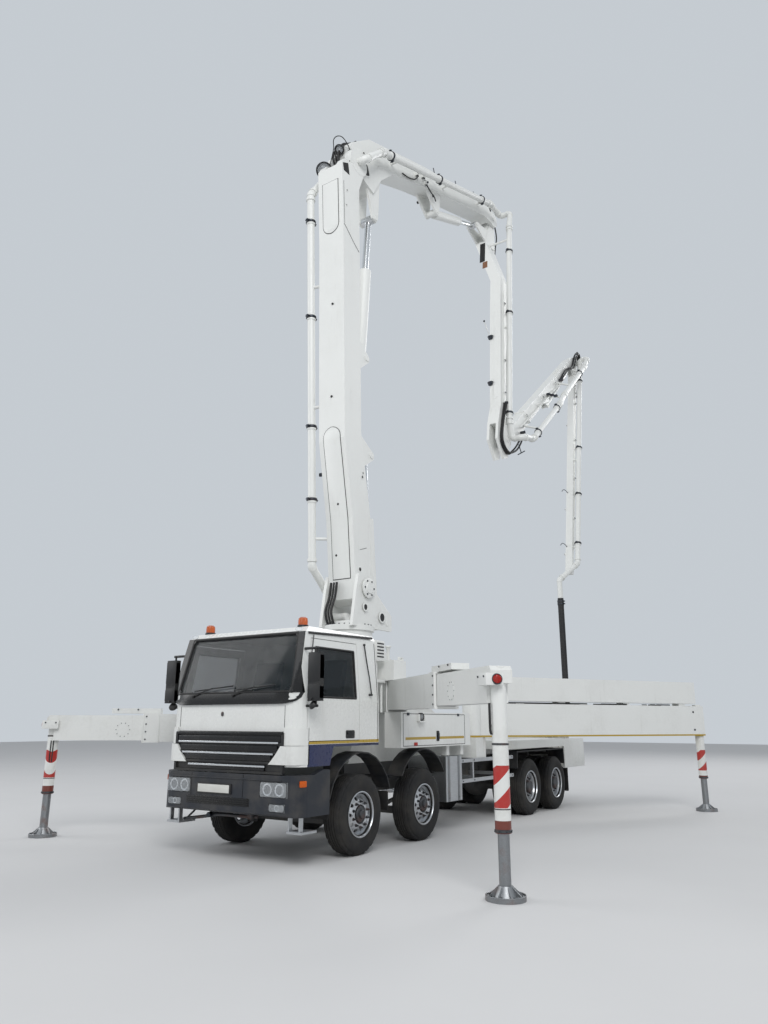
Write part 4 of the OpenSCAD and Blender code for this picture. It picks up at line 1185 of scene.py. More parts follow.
    def bumper(self) -> None:
        """Recess, crease and joints of the bumper, and the towing bar below it."""
        form = Form()
        face = self.bumper_face
        form.span((-0.7, face - 0.004, 0.7), (0.46, face + 0.004, 0.8), 0.003, 0)
        for z in (0.715, 0.74, 0.765, 0.79):
            form.span((-0.68, face - 0.014, z - 0.008), (0.44, face, z + 0.004), 0.003, 0)
        form.span((-1.0, face - 0.012, 1.03), (1.0, face + 0.002, 1.045), 0.004, 1)
        for x in (-0.62, 0.34):
            form.span((x - 0.003, face - 0.003, 0.7), (x + 0.003, face + 0.002, 1.09), 0.0, 0)
        self.add("bumper_trim", form, "root", "gloss_black", "bumper_plastic")
        form = Form()
        form.sweep(places((-0.98, -1.2, 0.45), (-0.6, -1.22, 0.5), (-0.3, -1.22, 0.545), (0.1, -1.2, 0.545),
                          (0.36, -1.16, 0.55)), 0.022, 0, 12)
        for x, z in ((-0.42, 0.53), (0.28, 0.55)):
            form.span((x - 0.035, -1.24, z - 0.03), (x + 0.035, -1.17, 0.64), 0.008, 0)
        form.tube(place(-0.42, -1.3, 0.54), place(-0.42, -1.14, 0.54), 0.035, 1, 20, bevel=0.004)
        form.sweep(places((-0.95, -1.18, 0.46), (-0.9, -1.1, 0.55), (-0.88, -1.05, 0.62)), 0.014, 0, 8)
        self.add("towing_bar", form, "root", "dark_steel", "gun_metal")

    def rear(self) -> None:
        """Air intake, horn and hoses behind the cab."""
        form = Form()
        form.span((0.78, 0.56, 2.66), (1.06, 0.82, 2.98), 0.03, 0)
        for k in range(5):
            form.span((1.05, 0.6, 2.72 + 0.05 * k), (1.066, 0.78, 2.74 + 0.05 * k), 0.003, 1)
        form.tube(place(0.92, 0.69, 2.36), place(0.92, 0.69, 2.67), 0.07, 0, 24, bevel=0.006)
        form.span((0.8, 0.56, 2.34), (1.05, 0.84, 2.385), 0.01, 0)
        form.tube(place(0.84, 0.62, 1.9), place(0.84, 0.62, 2.35), 0.022, 0, 12)
        form.tube(place(1.0, 0.8, 1.9), place(1.0, 0.8, 2.35), 0.022, 0, 12)
        at = facing(place(1.0, 1.0, 2.72), (0.1, -0.2, 1.0), (0.0, 1.0, 0.0))
        form.lathe([(0.0, 0.0), (0.02, 0.0), (0.024, 0.1), (0.036, 0.17), (0.058, 0.2),
                    (0.05, 0.2), (0.03, 0.16), (0.0, 0.12)], at, 0, 24)
        form.sweep(places((0.2, 0.55, 2.4), (-0.2, 0.6, 2.6), (-0.35, 0.8, 2.9), (-0.4, 1.0, 3.15)),
                   0.03, 1, 12)
        form.sweep(places((0.1, 0.55, 2.4), (-0.3, 0.58, 2.62), (-0.45, 0.8, 2.95), (-0.5, 1.0, 3.15)),
                   0.024, 1, 12)
        self.add("cab_rear_fittings", form, "root", "white_paint", "hose_rubber")

    def sides(self) -> None:
        """Door handles, window seals, grab rails, kerb mirrors and seams."""
        for side, s in SIDES:
            door = f"door_{side}"
            form = Form()
            form.prism(rounded(0.2, 0.105, 0.015), 0.008,
                       facing(place(s * 1.2, -0.27, 1.595), (s, 0, 0)), 0, 0.003)
            form.span((s * 1.206, -0.35, 1.6), (s * 1.226, -0.19, 1.625), 0.005, 0)
            self.add(f"door_handle_{side}", form, door, "black_plastic")
            form = Form()
            outline = [(-1.09, 2.08), (-1.01, 2.74), (-0.13, 2.74), (-0.13, 2.08), (-1.09, 2.08)]
            for (ya, za), (yb, zb) in zip(outline, outline[1:]):
                path = []
                for t in range(9):
                    y, z = ya + (yb - ya) * t / 8, za + (zb - za) * t / 8
                    x = 1.2 - (max(z - 2.05, 0.0)) * 0.08 / 0.89
                    path.append(place(s * (x - 0.004), y, z))
                form.sweep(path, 0.016, 0, 8)
            self.add(f"window_seal_{side}", form, door, "seal_rubber")
            form = Form()
            rail = places((s * 1.14, 0.14, 2.86), (s * 1.175, 0.16, 2.6), (s * 1.215, 0.18, 2.35),
                          (s * 1.235, 0.2, 2.14))
            form.sweep(rail, 0.009, 0, 8)
            for point in (rail[0], rail[-1]):
                form.tube(point + Vector((s * 0.012, 0, 0)), point - Vector((s * 0.05, 0, 0)), 0.016, 0, 12)
            form.sweep(places((s * 1.34, -1.33, 2.05), (s * 1.33, -1.28, 2.03), (s * 1.32, -1.25, 2.0)), 0.01,
                       0, 8)
            form.lathe([(0.0, -0.035), (0.045, -0.03), (0.062, -0.005), (0.062, 0.012),
                        (0.055, 0.02), (0.0, 0.022)],
                       facing(place(s * 1.32, -1.255, 1.97), (s * 0.3, 0.6, -0.5)), 0, 28)
            for y0, z0, y1, z1 in ((0.41, 1.5, 0.41, 2.9), (-0.06, 1.46, 0.4, 1.46)):
                form.sweep([place(s * (1.201 - max(z0 + (z1 - z0) * k / 6 - 2.05, 0.0) * self.pillar_lean),
                                  y0 + (y1 - y0) * k / 6, z0 + (z1 - z0) * k / 6) for k in range(7)], 0.004,
                           0, 6)
            self.add(f"cab_side_fittings_{side}", form, "root", "black_plastic")


@dataclass(frozen=True)
class Arm:
    """Rest place of one arm: root pivot, direction, length, half width and lane across the truck."""

    body: str
    root_y: float
    root_z: float
    angle: float
    length: float
    half: float
    lane: float

    def spot(self, along: float, out: float, x: float) -> Vector:
        """Point beside the arm.

        Args:
            along: Distance from its root pivot.
            out: Distance out from its axis.
            x: Place across the truck.

        Returns:
            The point in the frame of the parts.
        """
        a = math.radians(self.angle)
        return place(x, self.root_y + along * math.cos(a) - out * math.sin(a),
                     self.root_z + along * math.sin(a) + out * math.cos(a))

    def route(self, *points: Triple) -> list[Vector]:
        """Several such points."""
        return [self.spot(*point) for point in points]

    def ways(self) -> tuple[Vector, Vector]:
        """Directions along the arm and out from its axis."""
        root, ahead, out = self.route((0.0, 0.0, 0.0), (1.0, 0.0, 0.0), (0.0, 1.0, 0.0))
        return ahead - root, out - root

    def side(self, along: float, out: float, x: float) -> Matrix:
        """Matrix with X along the arm, Y outwards and Z across the truck."""
        return axes(self.spot(along, out, x), *self.ways(), Vector((1.0, 0.0, 0.0)))

    def face(self, along: float, out: float, x: float) -> Matrix:
        """Matrix with Y along the arm and Z outwards."""
        return axes(self.spot(along, out, x), Vector((-1.0, 0.0, 0.0)), *self.ways())


@dataclass
class Boom(SubAssembly):
    """Covers, work lamps, fittings, hoses and pipe couplings of the folding boom."""

    root: Pair = (1.32, 3.95)
    angles: tuple[float, ...] = (92.0, 22.5, -94.6, 38.4, -102.0)
    lengths: tuple[float, ...] = (8.42, 6.9, 6.69, 7.12, 7.45)
    widths: tuple[float, ...] = (0.57, 0.43, 0.29, 0.25, 0.19)
    lanes: tuple[float, ...] = (0.0, 0.0, 0.45, 0.45, 0.45)
    pipe_radius: float = 0.07
    hose_radius: float = 0.079
    hose_bore: float = 0.0625
    hose_top: Triple = (0.33, 10.47527, 5.0)
    hose_length: float = 3.2
    rib_pitch: float = 0.04

    def __post_init__(self) -> None:
        """Works out where each arm's root lies."""
        y, z = self.root
        self.arms: list[Arm] = []
        for k, (angle, length) in enumerate(zip(self.angles, self.lengths)):
            self.arms.append(Arm(f"arm_{k + 1}", y, z, angle, length, self.widths[k] / 2, self.lanes[k]))
            y += length * math.cos(math.radians(angle))
            z += length * math.sin(math.radians(angle))

    def skin(self, form: Form, arm: Arm, edge: Sequence[Pair], low: float, high: float,
             half: float, lift: float, rounds: tuple[bool, bool] = (True, True), middle: float = 0.0,
             slot: int = 0) -> None:
        """Lays a plate with round ends on a face of an arm.

        Args:
            form: Form under construction.
            arm: The arm.
            edge: Profile of the face, as (along, out).
            low: Where the plate starts along the arm.
            high: Where it ends.
            half: Half its width.
            lift: Its thickness.
            rounds: Whether its low and its high end are round.
            middle: Its middle across the truck.
            slot: Material index.
        """
        turns = [math.radians(15.0 * k) for k in range(7)]
        round_end = [(half * (1 - math.cos(a)), max(half * math.sin(a), 0.02)) for a in turns]
        first_end, last_end = (round_end if is_round else [(0.0, half)] for is_round in rounds)
        rows = [(low + step, wide) for step, wide in first_end]
        rows += [(u, half) for u, _ in edge if rows[-1][0] + 0.01 < u < high - half - 0.01]
        rows += [(high - step, wide) for step, wide in reversed(last_end)]
        loops = []
        for along, wide in rows:
            near = max((p for p in edge if p[0] <= along), key=lambda p: p[0], default=edge[0])
            far = min((p for p in edge if p[0] > along), key=lambda p: p[0], default=edge[-1])
            share = (along - near[0]) / (far[0] - near[0]) if far[0] > near[0] else 0.0
            out = near[1] + (far[1] - near[1]) * share
            trim = min(abs(lift), wide * 0.4)
            section = ((-lift * 0.5, -wide), (lift * 0.5, -wide), (lift, trim - wide),
                       (lift, wide - trim), (lift * 0.5, wide), (-lift * 0.5, wide))
            loops.append([form.bm.verts.new(arm.spot(along, out + rise, middle + across))
                          for rise, across in section])
        for first, second in zip(loops, loops[1:]):
            for k in range(6):
                n = (k + 1) % 6
                form.bm.faces.new((first[k], first[n], second[n], second[k])).material_index = slot
        form.bm.faces.new(loops[0]).material_index = slot
        form.bm.faces.new(list(reversed(loops[-1]))).material_index = slot

    def covers(self) -> None:
        """Cover plates, seams and an opening on the arms' faces; the opening is a dark sheet of painted
        shade.
        """
        first, second, third = self.arms[:3]
        front = [(-0.18, 0.21), (1.2, 0.3), (2.6, 0.51), (6.5, 0.52), (8.06, 0.56)]
        form = Form()
        for low, high, rounds in ((6.66, 7.76, (True, False)), (0.16, 2.83, (False, True))):
            self.skin(form, first, front, low, high, 0.19, 0.004, rounds, slot=1)
            self.skin(form, first, front, low + 0.012, high - 0.012, 0.178, 0.012, rounds)
        for along, x in ((1.46, 0.01), (0.58, -0.09), (3.4, 0.0), (5.2, 0.03)):
            form.tube(first.spot(along, 0.0, x),
                      first.spot(along, self.height(front, along) + 0.016, x), 0.02, 1, 20)
        for along, out, radius in ((0.32, 0.1, 0.032), (1.98, 0.0, 0.022), (2.06, -0.02, 0.016),
                                   (7.22, 0.42, 0.012), (7.55, 0.40, 0.014)):
            form.lathe([(0.0, -0.01), (radius, -0.01), (radius, 0.002), (0.0, 0.002)],
                       first.side(along, out, first.half), 1, 20)
            form.lathe([(radius + 0.004, -0.004), (radius + 0.016, -0.004), (radius + 0.016, 0.006),
                        (radius + 0.004, 0.006)], first.side(along, out, first.half), 0, 28, closed=True)
        seam = first.route((6.78, 0.5, first.half), (6.74, 0.44, first.half), (6.54, 0.2, first.half),
                           (6.42, 0.03, first.half))
        form.sweep(seam, 0.006, 1, 6)
        form.sweep([first.spot(u, self.height(front, u) - 0.045, first.half) for u in (6.8, 7.1, 7.4, 7.7)],
                   0.004, 1, 6)
        form.sweep(first.route((0.72, -0.1, first.half), (0.66, 0.1, first.half)), 0.004, 1, 6)
        # Painted shade: the opening is a thin dark sheet that stands for the shade inside the arm.
        opening = [(7.93, 0.32), (7.93, 0.5), (8.08, 0.53), (8.17, 0.36)]
        form.prism([(u - 7.93, v - 0.32) for u, v in opening], 0.003, first.side(7.93, 0.32, first.half), 1)
        self.add("arm_1_covers", form, "arm_1", "boom_paint", "seal_rubber")
        form = Form()
        for s in (1, -1):
            at = second.side(0.33, -0.05, s * second.half)
            form.prism(rounded(0.25, 0.3, 0.06), s * 0.012, at, 0, 0.004)
            form.prism(rounded(0.19, 0.24, 0.05), s * 0.015, at, 1)
            at = second.side(0.26, 0.27, s * second.half)
            form.prism(rounded(0.17, 0.14, 0.02), s * 0.01, at, 0, 0.003)
            for along, out, radius in ((0.4, 0.3, 0.018), (1.5, 0.35, 0.02), (3.32, -0.02, 0.03)):
                form.tube(second.spot(along, out, s * (second.half - 0.02)),
                          second.spot(along, out, s * (second.half + 0.012)), radius, 1, 20)
            seam = [(0.9, 0.3), (1.5, 0.3), (2.7, 0.31), (3.9, 0.29), (5.6, 0.22)]
            form.sweep([second.spot(u, v - 0.16, s * (second.half + 0.001)) for u, v in seam], 0.006, 0, 6)
        top = [(0.0, 0.42), (0.75, 0.66), (3.1, 0.62), (6.5, 0.4)]
        self.skin(form, second, top, 0.86, 1.32, 0.12, 0.014, slot=1)
        self.add("arm_2_covers", form, "arm_2", "boom_paint", "seal_rubber")
        form = Form()
        under = [(0.9, -0.32), (3.0, -0.38), (5.9, -0.38)]
        self.skin(form, third, under, 0.96, 1.56, 0.075, -0.004, (False, False), 0.06, 1)
        self.skin(form, third, under, 1.58, 1.78, 0.07, -0.003, (False, False), 0.14, 2)
        self.skin(form, third, under, 3.2, 5.7, 0.055, -0.008, (True, True), 0.45)
        self.add("arm_3_covers", form, "arm_3", "boom_paint", "seal_rubber", "rust_paint")

    def height(self, edge: Sequence[Pair], along: float) -> float:
        """Height of a face's profile.

        Args:
            edge: The profile, as (along, out).
            along: Place along it.

        Returns:
            The height there, or that of its end past it.
        """
        for (u0, v0), (u1, v1) in zip(edge, edge[1:]):
            if u0 <= along <= u1:
                return v0 + (v1 - v0) * (along - u0) / (u1 - u0)
        return edge[-1][1]

    def work_lamp(self, form: Form, at: Matrix, radius: float, depth: float) -> None:
        """Adds a round work lamp that shines along the Z axis of a matrix.

        Args:
            form: Form with slots for housing, reflector and glass.
            at: Middle of its opening.
            radius: Radius of the opening.
            depth: Depth of the housing.
        """
        form.lathe([(0.0, -depth), (0.3 * radius, -depth), (0.58 * radius, -0.86 * depth),
                    (0.94 * radius, -0.3 * depth), (radius, -0.02), (radius + 0.012, -0.015),
                    (radius + 0.012, 0.02), (radius - 0.008, 0.024), (radius - 0.01, -0.012)], at, 0, 40)
        form.lathe([(radius - 0.01, -0.012), (0.7 * radius, -0.35 * depth), (0.3 * radius, -0.6 * depth),
                    (0.0, -0.64 * depth)], at, 1, 40)
        for rib in circle(8):
            form.tube(at @ (rib * 0.5 * radius + Vector((0, 0, -0.82 * depth))),
                      at @ (rib * 0.97 * radius + Vector((0, 0, -0.16 * depth))), 0.009, 0, 6)
        form.lathe([(0.0, 0.004), (0.6 * radius, 0.003), (radius - 0.01, -0.004), (radius - 0.01, -0.01),
                    (0.6 * radius, -0.003), (0.0, -0.002)], at, 2, 40)

    def lamps(self) -> None:
        """Two work lamps with stems, cables and a wire guard at the head of the first arm."""
        arm = self.arms[0]
        form = Form()
        for middle, aim, radius, depth, foot in (
            (place(-0.33, 0.72, 12.24), (0.16, -0.62, -0.77), 0.155, 0.26, arm.spot(7.98, 0.5, -0.2)),
            (place(0.03, 0.72, 12.56), (0.12, -0.8, -0.58), 0.09, 0.16, arm.spot(8.2, 0.42, 0.08)),
        ):
            at = facing(middle, aim)
            self.work_lamp(form, at, radius, depth)
            back = at @ Vector((0.0, 0.0, -depth * 0.7))
            form.sweep([foot, foot + (back - foot) * 0.4 + Vector((0, 0, 0.02)), back], 0.018, 0, 10)
            form.lathe([(0.0, -0.03), (0.05, -0.03), (0.05, 0.012), (0.03, 0.016), (0.0, 0.016)],
                       Matrix.Translation(foot), 0, 20)
            form.sweep([back, back + Vector((0.05, 0.06, -0.05)), foot + Vector((0.05, 0.05, -0.06))], 0.008,
                       0, 8)
        guard = [arm.spot(8.28, 0.42, -0.1), place(-0.1, 0.7, 12.62), place(-0.07, 0.66, 12.8),
                 place(0.03, 0.66, 12.84), place(0.13, 0.72, 12.78), place(0.2, 0.84, 12.56),
                 arm.spot(8.3, 0.25, 0.24)]
        form.sweep(guard, 0.009, 0, 8)
        self.add("arm_1_work_lamps", form, "arm_1", "black_plastic", "chrome", "clear_lens")

    def coupling(self, form: Form, at: Matrix) -> None:
        """Adds a clamped pipe coupling with its bolts.

        Args:
            form: Form with slots for the rings and the clamp.
            at: Middle of the coupling, with the pipe along its Z axis.
        """
        r = self.pipe_radius
        for z in (-0.062, 0.022):
            rows = [(r - 0.002, z), (r + 0.012, z + 0.004), (r + 0.012, z + 0.036), (r - 0.002, z + 0.04)]
            form.lathe(rows, at, 0, 36)
        form.lathe([(r - 0.002, -0.024), (r + 0.022, -0.022), (r + 0.028, -0.012), (r + 0.028, 0.012),
                    (r + 0.022, 0.022), (r - 0.002, 0.024)], at, 1, 36)
        for s in (1, -1):
            near, far = sorted((s * (r + 0.018), s * (r + 0.06)))
            form.block((near, -0.026, -0.02), (far, 0.026, 0.02), 0.005, 1, at)
            form.tube(at @ Vector((s * (r + 0.042), -0.045, 0.0)), at @ Vector((s * (r + 0.042), 0.045, 0.0)),
                      0.009, 1, 8)

    def couplings(self) -> None:
        """Couplings along the concrete pipe, each on its own arm."""
        stations = (
            (0, [(u, 0.42 + 0.0137 * (u - 0.4), -0.5) for u in (1.6, 2.95, 5.1, 7.1)]),
            (1, [(u, 0.33 - 0.0164 * (u - 0.8), 0.43) for u in (1.15, 3.35, 5.75)]),
            (2, [(u, -0.06 - 0.0138 * (u - 0.5), 0.71) for u in (1.3, 3.2, 6.05)]),
            (3, [(1.05, -0.273, 0.99), (2.9, -0.2446, 0.99), (5.9, -0.139, 0.93)]),
            (4, [(u, 0.0, 0.685) for u in (0.8, 3.2, 4.75, 6.3)]),
        )
        for index, stops in stations:
            arm, form = self.arms[index], Form()
            run = (stops[-1][1] - stops[0][1]) / (stops[-1][0] - stops[0][0])
            for along, out, x in stops:
                here, ahead = arm.spot(along, out, x), arm.spot(along + 1.0, out + run, x)
                self.coupling(form, facing(here, ahead - here, (1.0, 0.0, 0.0)))
            self.add(f"{arm.body}_couplings", form, arm.body, "boom_paint", "gun_metal")

    def clamp(self, form: Form, arm: Arm, along: float, out: float, x: float, wide: float = 0.09) -> None:
        """Adds a dark clamp block with two nuts on the side of an arm.

        Args:
            form: Form under construction.
            arm: The arm.
            along: Place along the arm.
            out: Place out from its axis.
            x: Place across the truck, which says the side.
            wide: Length of the block out from the axis.
        """
        at = arm.side(along, out, x)
        s = 1 if x > arm.lane else -1
        ends = sorted((-0.004 * s, 0.035 * s))
        form.block((-0.03, -wide / 2, ends[0]), (0.03, wide / 2, ends[1]), 0.005, 0, at)
        for v in (-0.27 * wide, 0.27 * wide):
            form.bar(at, (0.0, v, 0.0), (0.0, v, 0.052 * s), 0.012, 1, 6)

    def fittings(self) -> None:
        """Valve blocks, thin pipes, clamps, steps and levers on the arms."""
        for dress in (self._first, self._second, self._third, self._fourth, self._fifth):
            dress()

    def _first(self) -> None:
        """Pipe brackets, thin pipes and clamps of the first arm."""
        first, form = self.arms[0], Form()
        for along in (2.05, 3.5, 4.95, 6.4):
            form.tube(first.spot(along, 0.36, -0.28), first.spot(along, 0.36, -0.35), 0.016, 1, 10)
            form.block((-0.03, -0.02, -0.03), (0.03, 0.02, 0.03), 0.005, 1,
                       Matrix.Translation(first.spot(along, 0.36, -0.36)))
        for x in (-0.3, -0.335):
            form.sweep([first.spot(u, 0.1 + 0.02 * u, x) for u in (0.9, 2.6, 4.4, 6.2, 7.5)], 0.011, 0, 8)
        for along in (1.3, 2.8, 4.3, 5.8, 7.2):
            self.clamp(form, first, along, 0.1 + 0.02 * along, -0.285, 0.1)
        self.add("arm_1_fittings", form, "arm_1", "boom_paint", "gun_metal")

    def _second(self) -> None:
        """Valve blocks, hoses, hoop and pipe stands of the second arm."""
        second, form = self.arms[1], Form()
        for along, out, size in ((2.6, 0.34, 0.11), (2.9, 0.36, 0.13), (2.98, 0.2, 0.1)):
            at = second.side(along, out, second.half)
            form.block((-size * 0.42, -size * 0.42, -0.004), (size * 0.42, size * 0.42, 0.07), 0.008, 0, at)
            for s in (-1, 1):
                form.bar(at, (s * size * 0.25, -size * 0.4, 0.04),
                         (s * size * 0.25, -size * 0.66, 0.04), 0.017, 2, 6)
                form.bar(at, (s * size * 0.25, size * 0.4, 0.04),
                         (s * size * 0.25, size * 0.6, 0.04), 0.014, 2, 12)
            form.bar(at, (0, 0, 0.065), (0, 0, 0.1), 0.02, 2, 6)
        hoop = [second.spot(3.02 + 0.085 * math.cos(a), 0.58 + 0.085 * math.sin(a), 0.12)
                for a in (math.pi * k / 6 for k in range(12))]
        form.sweep(hoop + hoop[:1], 0.009, 2, 8)
        form.sweep(second.route((2.62, 0.28, 0.26), (2.4, 0.16, 0.27), (2.15, 0.15, 0.25), (1.9, 0.2, 0.24)),
                   0.014, 1, 10)
        form.sweep(second.route((2.98, 0.15, 0.26), (3.1, 0.0, 0.27), (3.3, -0.06, 0.24), (3.42, -0.12, 0.2)),
                   0.014, 1, 10)
        top = [(0.75, 0.66), (3.1, 0.62), (6.5, 0.4), (6.7, 0.33)]
        for x in (0.05, 0.1, 0.15):
            form.sweep([second.spot(u, self.height(top, u) + 0.05, x)
                        for u in (3.1, 3.7, 4.6, 5.4, 6.0, 6.45)], 0.012, 0, 8)
        for along in (3.74, 4.9, 5.96):
            base = self.height(top, along)
            form.block((-0.02, -0.14, 0.0), (0.02, 0.02, 0.075), 0.004, 2,
                       second.face(along, base - 0.01, 0.04))
            form.tube(second.spot(along, base, 0.17), second.spot(along, base + 0.16, 0.17), 0.012, 2, 8)
        self.add("arm_2_fittings", form, "arm_2", "boom_paint", "hose_rubber", "gun_metal")

    def _third(self) -> None:
        """Hanging switch, brackets, clamps and thin pipes of the third arm."""
        third, form = self.arms[2], Form()
        form.sweep(third.route((3.97, -0.25, 0.33), (3.92, -0.36, 0.3), (3.78, -0.52, 0.29),
                               (3.66, -0.66, 0.29)), 0.01, 0, 8)
        form.lathe([(0.0, -0.024), (0.02, -0.018), (0.026, 0.0), (0.02, 0.018), (0.0, 0.024)],
                   Matrix.Translation(third.spot(3.64, -0.68, 0.29)), 1, 16)
        for along, out, x in ((3.97, -0.4, 0.32), (5.27, -0.4, 0.32)):
            form.block((-0.05, -0.035, -0.04), (0.05, 0.03, 0.06), 0.006, 1, third.side(along, out, x))
            form.block((-0.03, 0.0, -0.01), (0.03, 0.22, 0.03), 0.004, 0, third.side(along, out, x))
            form.tube(third.spot(along - 0.02, out - 0.02, x - 0.06),
                      third.spot(along - 0.02, out - 0.02, x + 0.09), 0.016, 1, 6)
        for along in (1.15, 2.95, 4.6, 5.5):
            self.clamp(form, third, along, -0.2,
                       third.lane + third.half if along > 2.3 else 0.2 + 0.25 * along / 2.3, 0.08)
        form.sweep(third.route((5.35, -0.39, 0.4), (5.6, -0.41, 0.36), (6.0, -0.43, 0.34),
                               (6.3, -0.46, 0.36)), 0.008, 0, 8)
        for x in (0.6, 0.63):
            form.sweep([third.spot(u, -0.26, x) for u in (2.6, 3.4, 4.2, 5.0, 5.8)], 0.012, 0, 8)
        self.add("arm_3_fittings", form, "arm_3", "boom_paint", "gun_metal")

    def _fourth(self) -> None:
        """Clamps, pipe carriers, stops and thin pipes of the fourth arm."""
        fourth, form = self.arms[3], Form()
        edge = fourth.lane + fourth.half
        for along, out in ((1.63, 0.07), (1.15, -0.06), (1.66, -0.12), (3.2, 0.06), (4.5, 0.06)):
            self.clamp(form, fourth, along, out, edge, 0.075)
        form.block((-0.03, -0.02, -0.14), (0.03, 0.02, 0.14), 0.005, 0, fourth.side(1.62, 0.19, fourth.lane))
        form.tube(fourth.spot(2.62, 0.04, edge - 0.02), fourth.spot(2.66, 0.02, 0.9), 0.018, 0, 10)
        form.tube(fourth.spot(3.62, 0.0, edge - 0.02), fourth.spot(3.62, -0.14, 0.9), 0.026, 0, 12)
        for k in range(3):
            form.block((-0.05, -0.045, -0.03), (0.05, 0.04, 0.03), 0.008, 1,
                       Matrix.Translation(fourth.spot(3.6, 0.01 - 0.045 * k, 0.64 + 0.09 * k)))
        for x in (edge + 0.012, edge + 0.04):
            form.sweep([fourth.spot(u, -0.02 - 0.01 * u, x) for u in (1.0, 2.2, 3.4, 4.6, 5.4)], 0.011, 0, 8)
        form.tube(fourth.spot(0.12, -0.2, 0.78), fourth.spot(0.12, -0.42, 0.78), 0.012, 1, 10)
        form.tube(fourth.spot(0.03, -0.42, 0.72), fourth.spot(0.21, -0.42, 0.84), 0.013, 1, 10)
        for along in (5.05, 5.35):
            form.block((-0.012, -0.01, -0.05), (0.012, 0.05, 0.05), 0.003, 0, fourth.side(along, 0.225, 0.5))
        self.add("arm_4_fittings", form, "arm_4", "boom_paint", "gun_metal")

    def _fifth(self) -> None:
        """Hooks, clamps and thin pipe of the fifth arm."""
        fifth, form = self.arms[4], Form()
        for along, reach in ((4.7, 0.24), (6.4, 0.26)):
            form.sweep(fifth.route((along, -0.07, 0.4), (along - 0.04, -0.16, 0.37),
                                   (along - 0.03, -0.1 - reach * 0.7, 0.34),
                                   (along + 0.06, -0.1 - reach, 0.32)), 0.009, 1, 8)
        for along in (2.35, 5.2, 6.6):
            self.clamp(form, fifth, along, -0.02, fifth.lane - fifth.half, 0.07)
        for along in (1.6, 2.9, 4.2, 5.5):
            self.clamp(form, fifth, along, 0.0, fifth.lane + fifth.half, 0.06)
        form.sweep([fifth.spot(u, 0.03, fifth.lane + fifth.half + 0.02) for u in (0.9, 2.4, 4.0, 5.6, 6.5)],
                   0.01, 0, 8)
        self.add("arm_5_fittings", form, "arm_5", "boom_paint", "gun_metal")

    def hoses(self) -> None:
        """Hydraulic hoses that cross the joints."""
        first, second, third, fourth, fifth = self.arms
        bundles = (
            ("joint_2", first, second, (-0.1, -0.04, 0.02),
             [(0, 7.75, -0.06), (0, 8.1, -0.3), (1, -0.3, 0.1), (1, 0.05, 0.47), (1, 0.5, 0.6)]),
            ("joint_3", second, third, (-0.06, 0.0, 0.06, 0.12),
             [(1, 6.2, 0.44), (1, 6.62, 0.42), (1, 7.05, 0.3), (2, 0.2, 0.36), (2, 0.7, 0.3),
              (2, 1.2, 0.24)]),
            ("joint_4", third, fourth, (0.615, 0.645, 0.675),
             [(2, 5.8, -0.22), (2, 6.35, -0.36), (2, 6.88, -0.42), (2, 7.08, -0.1), (3, 0.1, -0.3),
              (3, 0.55, -0.27), (3, 0.95, -0.16)]),
            ("joint_5", fourth, fifth, (0.6, 0.635, 0.67),
             [(3, 4.95, 0.02), (3, 5.7, 0.1), (3, 6.4, 0.02), (3, 6.95, 0.2), (3, 7.3, 0.16), (4, 0.35, 0.2),
              (4, 0.85, 0.12), (4, 1.3, 0.08)]),
        )
        for name, before, after, lanes, route in bundles:
            form, lane = Form(), sum(lanes) / len(lanes)
            for k, x in enumerate(lanes):
                drift = 0.03 * math.sin(2.3 * k)
                path = [self.arms[i].spot(u + 0.5 * drift, v + (drift if 0 < n < len(route) - 1 else 0.0), x)
                        for n, (i, u, v) in enumerate(route)]
                form.sweep(path, 0.018 if k % 2 else 0.022, 0, 12)
            for end in (route[0], route[-1]):
                middle = self.arms[end[0]].spot(end[1], end[2], lane)
                wide = (max(lanes) - min(lanes)) / 2 + 0.035
                form.block((-wide, -0.03, -0.03), (wide, 0.03, 0.03), 0.006, 1, Matrix.Translation(middle))
            piece = self.add(f"hoses_{name}", form, "", "hose_rubber", "gun_metal")
            crossing = after.spot(0.0, 0.0, lane)
            start = self.arms[route[0][0]].spot(*route[1][1:], 0.0) - crossing
            end = self.arms[route[-1][0]].spot(*route[-2][1:], 0.0) - crossing
            line = (end - start).normalized() * 0.3
            tuple(crossing - line)
            tuple(crossing + line)
            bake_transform(piece)

    def end_hose(self) -> None:
        """The end hose with its clamp, wound ribs, cuff and open bore."""
        radius, bore = self.hose_radius, self.hose_bore
        rows = [(bore, -0.006), (radius - 0.002, -0.006), (radius, -0.012)]
        z = 0.24
        while z < self.hose_length - 0.32:
            rows += [(radius, -z), (radius + 0.0018, -z - 0.008), (radius, -z - 0.016),
                     (radius - 0.0012, -z - 0.03)]
            z += self.rib_pitch
        rows += [(radius, -2.9), (radius + 0.005, -2.91), (radius + 0.006, -3.17), (radius + 0.002, -3.196),
                 (bore + 0.004, -3.198), (bore, -3.19), (bore, -2.7)]
        at = Matrix.Translation(place(*self.hose_top))
        form = Form()
        form.lathe(rows, at, 0, 40, closed=True)
        form.lathe([(radius, -0.2), (radius + 0.008, -0.195), (radius + 0.008, -0.06), (radius, -0.055)], at,
                   1, 40)
        for z in (0.09, 0.16):
            form.lathe([(radius + 0.006, -z - 0.012), (radius + 0.013, -z - 0.01),
                        (radius + 0.013, -z + 0.01), (radius + 0.006, -z + 0.012)], at, 2, 40)
            form.block((radius, -0.02, -z - 0.014), (radius + 0.04, 0.02, -z + 0.014), 0.004, 2, at)
        piece = self.add("end_hose_dressed", form, "arm_5", "hose_rubber", "black_plastic", "gun_metal")
        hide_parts("end_hose")


